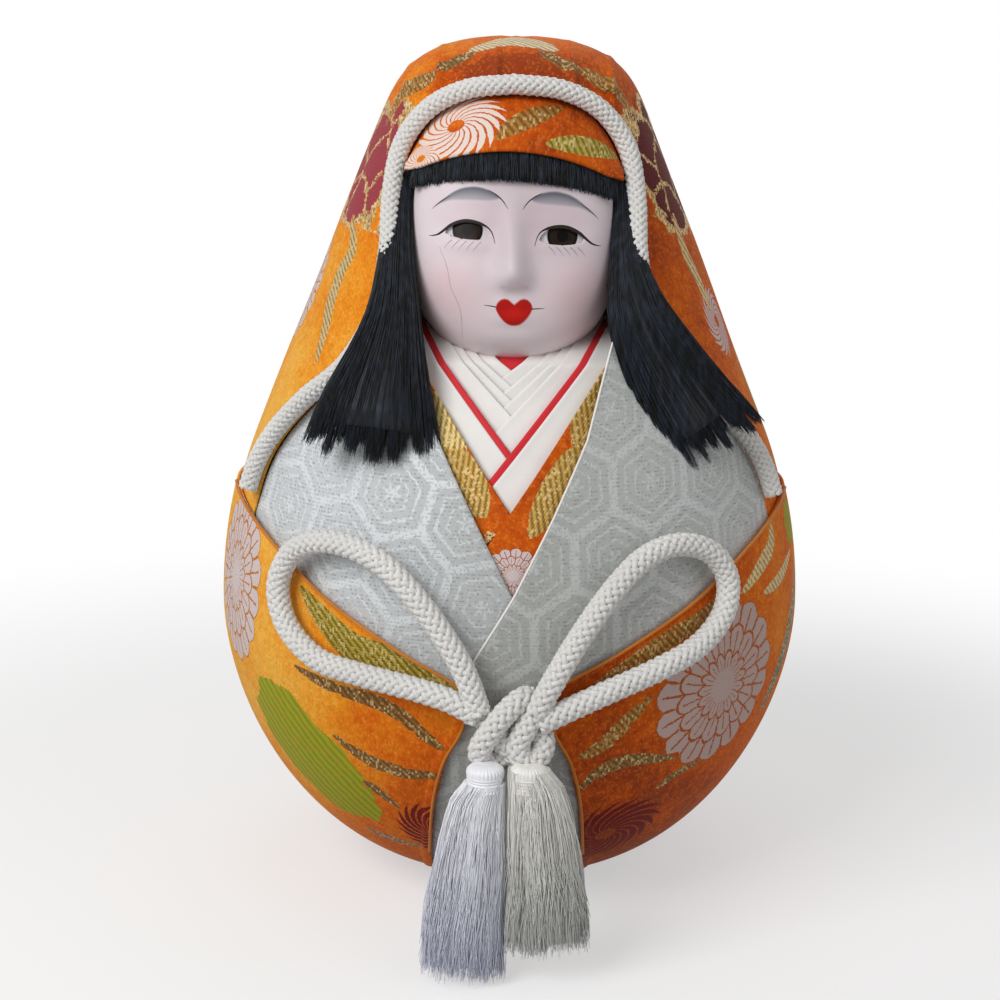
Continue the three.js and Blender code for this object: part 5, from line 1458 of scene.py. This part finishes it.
def gofun():
    """Polished powdered shell: a dense satin white that takes thin paint, with tiny brush and dust marks."""
    material, tree, shader, place = new_material("gofun_shell_white", Specular_IOR_Level=0.22)
    tone = node(tree, ATTRIBUTE, attribute_name="paint").outputs["Color"]
    dust = node(tree, NOISE, {"Vector": place, "Scale": 1 / (DUST_SIZE * MM), "Detail": 4.0})
    mottle = node(tree, NOISE, {"Vector": place, "Scale": 1 / (AGE_SIZE * MM)})
    rough = node(tree, "MULTIPLY_ADD", (dust, 0.12, 0.36))
    aged = node(tree, MIX, {0: mottle, MIX_A: tone, MIX_B: "#f4eef1"},
                blend_type="MULTIPLY")
    bump = node(tree, BUMP, {"Strength": 0.08, "Distance": 0.1 * MM, "Height": dust})
    fill(tree, shader, {"Base Color": aged, "Roughness": rough, "Normal": bump})
    return material


face = piece("painted_face", face_points, [*face_quads, *middle_fan, *back_fan], gofun())
colours = np.column_stack([paint, np.ones(len(paint))]).astype(np.float32)
face.data.attributes.new("paint", "FLOAT_COLOR", "POINT").data.foreach_set("color", colours.ravel())
with edited(face.data) as shell:
    loose = [corner for corner in shell.verts if not corner.link_faces]
    bmesh.ops.delete(shell, geom=loose, context="VERTS")
    bmesh.ops.recalc_face_normals(shell, faces=shell.faces)
    eye_edges = [edge for edge in shell.edges if edge.is_boundary]
    walls = bmesh.ops.extrude_edge_only(shell, edges=eye_edges)["geom"]
    wall_corners = [part for part in walls if isinstance(part, bmesh.types.BMVert)]
    bmesh.ops.translate(shell, verts=wall_corners, vec=(0, LID_DEPTH * MM, 0))
settle(face, "shell_white", "face_mask")
print("face faces", len(face.data.polygons))

# %% [markdown]
# ## Brush lines
# The lid lines, brow tails and lashes are single strokes of a fine brush. Painted into the mesh's points
# they would break up into dots, so each stroke is a flat closed ribbon that follows the face, thick in its
# middle and thin at its ends. The crack in the shell white is drawn the same way.

# %% Brush lines
INK_RISE = 0.06
LID_STROKE = [
    (-7.2, -2.8, 0.12), (-6.5, -0.5, 0.25), (-5.4, 0.95, 0.4), (-3.4, 1.9, 0.75), (-0.9, 2.35, 0.95),
    (1.6, 2.15, 0.95), (4.2, 1.05, 0.85), (5.8, -0.2, 0.7), (7.6, -1.6, 0.5), (9.1, -2.15, 0.28),
    (10.2, -2.25, 0.08),
]
BROW_TAIL = [(1.9, 10.8, 0.08), (3.3, 12.7, 0.28), (5, 14.1, 0.3), (7, 15.15, 0.12)]
BROW_END = [(17, 13.0, 0.1), (19.5, 11.2, 0.25), (21.8, 9.1, 0.06)]
MOUTH_CORNER = [(4.6, -14.35, 0.3), (6.2, -14.2, 0.26), (7.9, -14.1, 0.08)]
CRACK = [(-19.6, -0.2, 0.04), (-17.6, -5, 0.1), (-16.4, -10.5, 0.08), (-14, -16, 0.1), (-13.4, -24, 0.04)]
LASHES, FIRST_LASH, LASH_STEP = 5, -3.6, 1.9
DRY_BRUSH = 0.7


def brush_ink(name, light, deep):
    """Ink brushed over shell white: matte, and thinner where the brush ran dry."""
    material, tree, shader, place = new_material(name, Roughness=0.55, Specular_IOR_Level=0.2)
    dry = node(tree, NOISE, {"Vector": place, "Scale": 1 / (DRY_BRUSH * MM)})
    tone = node(tree, MIX, {0: dry, MIX_A: deep, MIX_B: light})
    fill(tree, shader, {"Base Color": tone})
    return material


def brush_line(points, material):
    """A flat ribbon through points on the face, each with a width, as painted a little out of level."""
    x, up, width = smooth_curve(points, 10).T
    x, up = x + PAINT_SHIFT, up - PAINT_TILT * x
    run, climb = np.gradient(x), np.gradient(up)
    half = width / 2 / np.hypot(run, climb)
    rings = []
    for angle in round_angles(8):
        edge_x, edge_up = x - climb * half * math.cos(angle), up + run * half * math.cos(angle)
        front = face_front(edge_x, edge_up) + INK_RISE * math.sin(angle)
        rings.append(np.stack([edge_x, -front, MASK_MIDDLE + edge_up], -1))
    return loft("brush_line", np.stack(rings, 1), material)


def by_eye(side, points):
    """Moves a stroke from the middle of an eye to its place on one side of the face."""
    return [(side * (EYE_PLACE[0] + x), EYE_PLACE[1] + up, width) for x, up, width in points]


INK = brush_ink("black_brush_ink", "#2a211e", "#0d0a0a")
WASH = brush_ink("thin_brown_ink", "#a08d8b", "#7f6c6a")
ink_lines, wash_lines = [], [brush_line(CRACK, WASH)]
for side in HANDS.values():
    ink_lines.append(brush_line(by_eye(side, LID_STROKE), INK))
    for points in (BROW_TAIL, BROW_END, MOUTH_CORNER):
        ink_lines.append(brush_line([(side * x, up, width) for x, up, width in points], INK))
    for lash in range(LASHES):
        root = FIRST_LASH + LASH_STEP * lash
        lash_points = [(root, -2.7, 0.16), (root + 1.1, -3.7, 0.12), (root + 2.1, -5.1, 0.04)]
        wash_lines.append(brush_line(by_eye(side, lash_points), WASH))
for name, lines in (("face_ink_lines", ink_lines), ("face_fine_lines", wash_lines)):
    drawn = join(*lines)
    drawn.name = name
    settle(drawn, "shell_white")
print("strokes", len(ink_lines) + len(wash_lines))

# %% [markdown]
# ## Eyes
# The eyes are shallow domes of dark glass set behind the lids: a pale ground, a broad brown-black iris with
# a darker rim and pupil, and a clear polished front. The colour follows the distance from the iris's
# middle.

# %% Glass eyes
EYE_SPOKES, EYE_RINGS = 64, 24
EYE_DOME = (7.2, 3.9)
EYE_SINK, EYE_BULGE, EYE_BACK = 1.3, 0.5, 5
IRIS_RADIUS = 3.95
# From the pupil's middle to the ground beside the iris
IRIS_TONES = [(0, "#070505"), (0.27, "#0b0706"), (0.34, "#231913"), (0.62, "#261c16"), (0.73, "#0c0807"),
              (0.79, "#171110"), (0.83, "#cfcbd0")]


def eye_glass(name, centre):
    """Blown glass: a near-black brown iris and grey-white ground under one clear polished surface."""
    material, tree, shader, place = new_material(name, Roughness=0.2, Specular_IOR_Level=0.06)
    own = node(tree, "VECTOR SUBTRACT", (place, tuple(c * MM for c in centre)))
    flat = node(tree, "VECTOR MULTIPLY", (own, (1 / MM, 0, 1 / MM)))
    distance = node(tree, "VECTOR LENGTH", (flat,)).outputs["Value"]
    streaks = node(tree, NOISE, {"Vector": flat, "Scale": 1.6, "Detail": 3.0})
    iris = node(tree, RAMP, (node(tree, "DIVIDE", (distance, IRIS_RADIUS * 1.25)),))
    set_tones(iris, IRIS_TONES)
    tone = node(tree, MIX, {0: 0.4, MIX_A: iris, MIX_B: streaks.outputs["Color"]}, blend_type="SOFT_LIGHT")
    fill(tree, shader, {"Base Color": tone})
    return material


for hand, side in HANDS.items():
    eye_x = side * EYE_PLACE[0] + PAINT_SHIFT
    eye_up = EYE_PLACE[1] - PAINT_TILT * side * EYE_PLACE[0]
    share = np.linspace(1, 0.02, EYE_RINGS)[:, None]
    around = round_angles(EYE_SPOKES)
    dome_x = eye_x + EYE_DOME[0] * share * np.cos(around)
    dome_up = eye_up + EYE_DOME[1] * share * np.sin(around)
    dome_front = face_front(dome_x, dome_up) - EYE_SINK + EYE_BULGE * (1 - share ** 2)
    dome = np.stack([dome_x, -dome_front, MASK_MIDDLE + dome_up], -1)
    back = dome[:1] * (0.9, 1, 1) + (0.1 * eye_x, EYE_BACK, 0)
    glass = eye_glass(f"dark_eye_glass_{hand}", (eye_x, 0, MASK_MIDDLE + eye_up))
    eye = loft(f"glass_eye_{hand}", np.vstack([back, dome]), glass)
    settle(eye, "dark_glass", f"eye_{hand}")
    print("eye", hand, "faces", len(eye.data.polygons))

# %% [markdown]
# ## Hair
# The hair is straight black fibre: bangs cut square over the brows, and two long locks that fan out over
# the shoulders and end in ragged clumps. Each strand is a line bent along the lock's course; a second node
# tree gives every line a thin tapering tube. A dark body under the strands keeps light from showing
# through.

# %% Strand tubes
def strand_tree():
    """Gives every line a thin tube that tapers to its tip."""
    tree = bpy.data.node_groups.new("strand_tubes", "GeometryNodeTree")
    size = group_inputs(tree, "Strand radius", "Tip share")
    lines = node(tree, "GeometryNodeMeshToCurve", {"Mesh": size["Geometry"]})
    along = node(tree, "GeometryNodeSplineParameter").outputs["Factor"]
    late = node(tree, "POWER", (along, 3.0))
    taper = node(tree, RANGE, {"Value": late, "To Min": 1.0, "To Max": size["Tip share"]})
    section = node(tree, CIRCLE, {"Resolution": 3, "Radius": size["Strand radius"]})
    tubes = node(tree, SWEEP, {"Curve": lines, "Profile Curve": section, "Scale": taper, "Fill Caps": True})
    end_tree(tree, tubes, size["Material"])
    return tree


def black_fibre():
    """Straight dyed fibre: blue-black, with a long soft highlight along the strands."""
    material, tree, shader, place = new_material("black_silk_hair", Roughness=0.42, Specular_IOR_Level=0.3)
    fall = node(tree, "ShaderNodeMapping", {"Vector": place, "Scale": (1, 1, 0.12)})
    tuft = node(tree, NOISE, {"Vector": fall, "Scale": 1 / (1.3 * MM), "Detail": 3.0})
    bright = node(tree, RANGE, {"Value": tuft, "From Min": 0.42, "From Max": 0.72})
    tone = node(tree, MIX, {0: bright, MIX_A: "#05070a", MIX_B: "#27303f"})
    fill(tree, shader, {"Base Color": tone})
    return material


STRANDS = strand_tree()
HAIR = black_fibre()


def strands(name, lines, radius, tip, material):
    """Many thin tubes in one mesh."""
    made = grown(name, path_mesh(name + "_lines", lines), STRANDS,
                 {"Strand radius": radius * MM, "Tip share": tip, "Material": material})
    print(name, "strands", len(lines), "faces", len(made.data.polygons))
    return made


# %% Bangs
BANGS_STRANDS, BANGS_STEPS, BANGS_HALF_WIDTH = 2200, 6, 27
BANGS_SWELL = 0.6
# How far the hair's top goes up under the head cloth, and how far down it is towards the temples
BANGS_COVERED, TEMPLE_DROP, TEMPLE_FROM = 0.3, 1.9, 20
BACKING_HALF_WIDTH, BACKING_NEAR, BACKING_FAR = 26.5, 0.2, 1.4
HAIR_RADIUS = 0.13
rng = np.random.default_rng(7)


def bangs_line(x, top_gain, cut_gain):
    """Upper edge and cut of the bangs at a place, each moved up a little."""
    bend = (x / BROW_HALF_WIDTH) ** 2
    top = BANGS_TOP + top_gain - BANGS_ARCH * bend - HEAD_CLOTH_TILT * x
    return top, BANGS_CUT + cut_gain - BANGS_CURVE * bend - BANGS_CUT_TILT * x


fall = np.linspace(0, 1, BANGS_STEPS)
bang_lines = []
for _ in range(BANGS_STRANDS):
    x = rng.uniform(-BANGS_HALF_WIDTH, BANGS_HALF_WIDTH)
    lift = rng.uniform(0.3, BANGS_THICKNESS)
    covered = BANGS_COVERED - TEMPLE_DROP * min(1, (x / TEMPLE_FROM) ** 4)
    top, tip = bangs_line(x, covered, rng.normal(0, 0.3))
    lean = rng.normal(0, 0.5)
    up = np.linspace(top, tip, BANGS_STEPS)
    line_x = x + lean * fall
    front = brow_front(line_x, up) + lift + BANGS_SWELL * np.sin(math.pi * fall ** 2)
    bang_lines.append(np.stack([line_x, -front, MASK_MIDDLE + up], -1))
bangs = strands("hair_bangs_strands", bang_lines, HAIR_RADIUS, 0.5, HAIR)
backing_x = np.linspace(-BACKING_HALF_WIDTH, BACKING_HALF_WIDTH, 54)
backing_top, backing_cut = bangs_line(backing_x, -1.5, 0.8)
backing_corners = [(backing_cut, BACKING_NEAR), (backing_cut, BACKING_FAR),
                   (backing_top, BACKING_FAR), (backing_top, BACKING_NEAR)]
backing = [np.stack([backing_x, -brow_front(backing_x, up) - lift, MASK_MIDDLE + up], -1)
           for up, lift in backing_corners]
join(bangs, loft("bangs_backing", np.stack(backing, 1), HAIR))
settle(bangs, "black_hair", "hair_bangs")

# %% Side locks
LOCK_STRANDS, LOCK_STEPS, LOCK_CLUMPS = 2300, 14, 26
LOCK_LENGTH = 80
CLUMP_SHORTEST, CLUMP_PULL, TIP_RAGGED, TIP_FLATTENING = 0.93, 0.5, 0.012, 0.4
LOCK_SPREAD, LOCK_ROUNDNESS = 1.06, 0.8
STRAND_WANDER, WANDER_RATE, ANY_PHASE = 0.035, (3, 9), (0, 6)
# Place from the chin, and half width and half depth, from the temple to the ends
LOCKS = {
    "left": [
        (-29.4, -32, 46, 3, 2.2), (-30.2, -36.5, 37, 3.2, 2.6), (-30.7, -43.5, 24, 4.3, 3.4),
        (-31.0, -50, 11, 6.4, 4), (-32.6, -55.5, -1, 9.9, 4.6), (-34.7, -60, -13, 14.3, 4.6),
        (-36.4, -64, -26, 18, 4.4),
    ],
    "right": [
        (28.9, -32, 46, 3, 2.2), (29.2, -36.5, 37, 3, 2.6), (30.1, -43.5, 24, 4.3, 3.4),
        (32.8, -49.5, 11, 7.6, 4), (38.8, -52, -1, 9.8, 4.6), (46.5, -53, -13, 11.8, 4.6),
        (54.8, -52.5, -24.5, 13.8, 4.4),
    ],
}
LOCK_BACKING_STEPS, LOCK_BACKING_SHARE, LOCK_BACKING_REACH = 16, 0.85, 0.9


def lock_frames(course, share):
    """Centre, sideways and outward half-axes of a lock at shares of its length."""
    fine = smooth_curve(course, 20)
    place = np.clip(share, 0, 1) * (len(fine) - 1)
    at, ahead, behind = [
        np.stack([np.interp(place + step, np.arange(len(fine)), column) for column in fine.T], -1)
        for step in (0, 0.5, -0.5)]
    along = unit((ahead - behind)[..., :3])
    past_end = np.maximum(share - 1, 0) * LOCK_LENGTH
    centre = at[..., :3] + (0, 0, CHIN_HEIGHT) + along * past_end[..., None]
    across = unit(np.array([1.0, 0, 0]) - along * along[..., :1])
    through = np.cross(across, along)
    return centre, across * at[..., 3:4], through * at[..., 4:5]


for hand, course in LOCKS.items():
    lines = []
    clumps = rng.uniform(-1, 1, LOCK_CLUMPS)
    tips = rng.uniform(CLUMP_SHORTEST, 1.0, LOCK_CLUMPS)
    for _ in range(LOCK_STRANDS):
        a, b = rng.uniform(-1, 1), rng.uniform(-1, 1)
        b = b * math.sqrt(max(0.0, 1 - a * a * LOCK_ROUNDNESS))
        own = int(np.argmin(np.abs(clumps - a)))
        reach = tips[own] + rng.normal(0, TIP_RAGGED)
        share = np.linspace(0, reach, LOCK_STEPS)
        centre, across, through = lock_frames(course, share)
        pull = CLUMP_PULL * share[:, None] ** 6
        wander = STRAND_WANDER * np.sin(share * rng.uniform(*WANDER_RATE) + rng.uniform(*ANY_PHASE))[:, None]
        drawn = LOCK_SPREAD * a + (clumps[own] - a) * pull + wander
        lines.append(centre + across * drawn + through * b * (1 - TIP_FLATTENING * pull))
    lock = strands(f"hair_lock_{hand}_strands", lines, HAIR_RADIUS, 0.4, HAIR)
    backing_share = np.linspace(0, LOCK_BACKING_REACH, LOCK_BACKING_STEPS)
    centre, across, through = [part[:, None] for part in lock_frames(course, backing_share)]
    angles = round_angles(24)[:, None]
    rings = centre + LOCK_BACKING_SHARE * (np.cos(angles) * across + np.sin(angles) * through)
    join(lock, loft(f"hair_lock_{hand}_backing", rings, HAIR))
    settle(lock, "black_hair", f"hair_lock_{hand}")

# %% [markdown]
# ## Tassels
# Each tassel hangs from the knot: a bound head with a wrapped neck, and a skirt of loose silk threads that
# spreads and ends unevenly. The threads are lines from the neck to the hem with a slight wave, tubed by the
# same tree as the hair. Head and skirt ride on the tassel's own body, so they swing together.

# %% Tassel silks
FADE_TOP, FADE_END = 48, 4


def tassel_silk(name, light, deep, hem):
    """Untwisted silk floss: bright threads, cooler and darker between them."""
    material, tree, shader, place = new_material(name, Roughness=0.5, Sheen_Weight=0.3)
    stretched = node(tree, "ShaderNodeMapping", {"Vector": place, "Scale": (1, 1, 0.08)})
    tint = node(tree, NOISE, {"Vector": stretched, "Scale": 1 / (1.5 * MM), "Detail": 3.0})
    tone = node(tree, MIX, {0: tint, MIX_A: light, MIX_B: deep})
    # Painted reflection and shade: the threads turn darker towards the hem, and bluer on the blue-white
    # tassel
    height = node(tree, SPLIT, (place,)).outputs[2]
    lower = node(tree, RANGE, {"Value": height, "From Min": FADE_TOP * MM, "From Max": FADE_END * MM,
                               "To Max": 0.75})
    tone = node(tree, MIX, {0: lower, MIX_A: tone, MIX_B: hem})
    fill(tree, shader, {"Base Color": tone})
    return material


BLUE_SILK = tassel_silk("blue_white_tassel_silk", "#ffffff", "#e4e6f0", "#c3c7de")
# The cream silk is partly its own colour and partly painted darker, as the right tassel hangs in shade
CREAM_SILK = tassel_silk("cream_tassel_silk", "#fffefa", "#dcdad0", "#aeb2b0")
# Height of the hem, start below the hinge, sway to the side, and silk
TASSELS = {"left": (0.8, -3.4, 5.4, BLUE_SILK), "right": (8, 0, 5, CREAM_SILK)}
HINGE = (5.5, -92.697, 58.122)
FRINGE_TOP, FRINGE_END = (5.3, 4.5), (11, 6)
FRINGE_THREADS, FRINGE_STEPS, FRINGE_CLUMPS = 2500, 10, 60
THREAD_RADIUS = 0.12
CLUMP_TWIST, CLUMP_RAGGED, CLUMP_WAVE, CLUMP_RATE = 0.35, 0.12, 0.7, (5, 11)
THREAD_STRAY, THREAD_RAGGED, THREAD_WAVE, THREAD_RATE = 0.2, 0.05, 0.25, (9, 18)
WAVE_DEPTH = 0.3
CORE_SHARE, FRINGE_SIDES, HEAD_SIDES = 0.75, 28, 120
HEAD_PROFILE = [
    (0.4, 1.4), (3.0, 1.1), (4.4, 0.2), (4.7, -0.9), (4.5, -2), (4.3, -3), (4.4, -4.2), (4.7, -5.4),
]
BINDING = (-1.4, -4.4)
BINDING_RIDGE, BINDING_RATE, CAP_RIDGE, CAP_RIDGES = 0.25, 4, 0.15, 30

for hand, (end, start, sway, silk) in TASSELS.items():
    side = HANDS[hand]
    hinge = np.array([side * HINGE[0], HINGE[1], HINGE[2]])
    top = HINGE[2] + start
    fall = np.linspace(0, 1, FRINGE_STEPS)
    flare = np.sqrt(fall)
    wide, deep = [FRINGE_TOP[k] + (FRINGE_END[k] - FRINGE_TOP[k]) * flare for k in (0, 1)]
    clumps = []
    for _ in range(FRINGE_CLUMPS):
        bearing, twist = rng.uniform(0, 2 * math.pi), rng.normal(0, CLUMP_TWIST)
        rate, phase = rng.uniform(*CLUMP_RATE), rng.uniform(*ANY_PHASE)
        clumps.append((bearing, twist, rate, phase, abs(rng.normal(0, CLUMP_RAGGED))))
    lines = []
    for _ in range(FRINGE_THREADS):
        bearing, twist, rate, phase, short = clumps[rng.integers(FRINGE_CLUMPS)]
        angle = bearing + rng.normal(0, THREAD_STRAY) + twist * fall
        spread = math.sqrt(rng.uniform(0.1, 1.0))
        length = 1 - short - abs(rng.normal(0, THREAD_RAGGED))
        own_wave = THREAD_WAVE * np.sin(fall * rng.uniform(*THREAD_RATE) + rng.uniform(*ANY_PHASE))
        wave = (CLUMP_WAVE * np.sin(fall * rate + phase) + own_wave) * fall
        x = hinge[0] + side * sway * flare + spread * np.cos(angle) * wide + wave
        y = hinge[1] + spread * np.sin(angle) * deep + WAVE_DEPTH * wave
        lines.append(np.stack([x, y, top + (end - top) * fall * length], -1))
    fringe = strands(f"tassel_fringe_{hand}_threads", lines, THREAD_RADIUS, 0.6, silk)
    angles = round_angles(FRINGE_SIDES)
    rings = []
    for step in range(FRINGE_STEPS - 1):
        middle_x, middle_z = hinge[0] + side * sway * flare[step], top - 1 + (end - top) * fall[step]
        ring = np.stack([np.cos(angles) * wide[step], np.sin(angles) * deep[step], 0 * angles], -1)
        rings.append((middle_x, hinge[1], middle_z) + CORE_SHARE * ring)
    join(fringe, loft(f"tassel_core_{hand}", rings, silk))
    settle(fringe, "tassel_thread", f"tassel_fringe_{hand}", body=f"tassel_{hand}")
    outline = smooth_curve(HEAD_PROFILE, 8)
    angles = round_angles(HEAD_SIDES)
    bound = (outline[:, 1] < BINDING[0]) & (outline[:, 1] > BINDING[1])
    wraps = BINDING_RIDGE * np.abs(np.sin(outline[:, 1:] * BINDING_RATE))
    ridges = np.where(bound[:, None], wraps, CAP_RIDGE * np.cos(angles * CAP_RIDGES))
    radii = outline[:, :1] + ridges * np.clip(outline[:, :1] / 3, 0, 1)
    rings = np.stack([hinge[0] + radii * np.cos(angles), hinge[1] + radii * np.sin(angles),
                      np.broadcast_to(hinge[2] + outline[:, 1:], radii.shape)], -1)
    head = loft(f"tassel_head_{hand}_binding", rings, silk)
    settle(head, "braided_cord", f"tassel_head_{hand}", body=f"tassel_{hand}")
    print("tassel", hand, "faces", len(fringe.data.polygons))

# %% [markdown]
# ## Inside and foot
# The pasted paper core, the clay in the foot, the card and the felt are right as solids, so they stay, with
# finishes of their own: pasted paper, painted dark in front as shade so that it doesn't show between face and
# hair, dried clay, card and pressed felt.

# %% Felt, card, clay and paper
def pressed(name, light, deep, grain, strength, roughness):
    """A matte pressed stuff with two tones and a grain of a given size in millimetres."""
    material, tree, shader, place = new_material(name, Roughness=roughness)
    fine = node(tree, NOISE, {"Vector": place, "Scale": 1 / (grain * MM), "Detail": 5.0, "Roughness": 0.65})
    broad = node(tree, NOISE, {"Vector": place, "Scale": 1 / (14 * grain * MM)})
    blend = node(tree, "MULTIPLY", (fine, broad))
    tone = node(tree, MIX, {0: blend, MIX_A: light, MIX_B: deep})
    bump = node(tree, BUMP, {"Strength": strength, "Distance": 0.2 * MM, "Height": fine})
    fill(tree, shader, {"Base Color": tone, "Normal": bump})
    return material


PRESSED_STUFFS = {
    "base_felt": pressed("red_wool_felt", "#8a332d", "#5d1f1b", 0.6, 0.6, 0.95),
    "base_board": pressed("grey_brown_card", "#b39a74", "#8f7a5a", 0.8, 0.2, 0.9),
    "clay_weight": pressed("dried_clay", "#937760", "#6f5845", 1.0, 0.5, 0.95),
    # Painted shade: the front of the core is dark paper that stands in for the shadow between face and hair
    "core_front": pressed("painted_shade_paper", "#443d38", "#2b2623", 1.2, 0.4, 0.9),
    "core_back": pressed("pasted_paper", "#c3b292", "#a08d6c", 1.2, 0.4, 0.9),
}
for name, stuff in PRESSED_STUFFS.items():
    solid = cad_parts[name]
    solid.data.materials.clear()
    solid.data.materials.append(stuff)
print("finished", sorted(PRESSED_STUFFS))
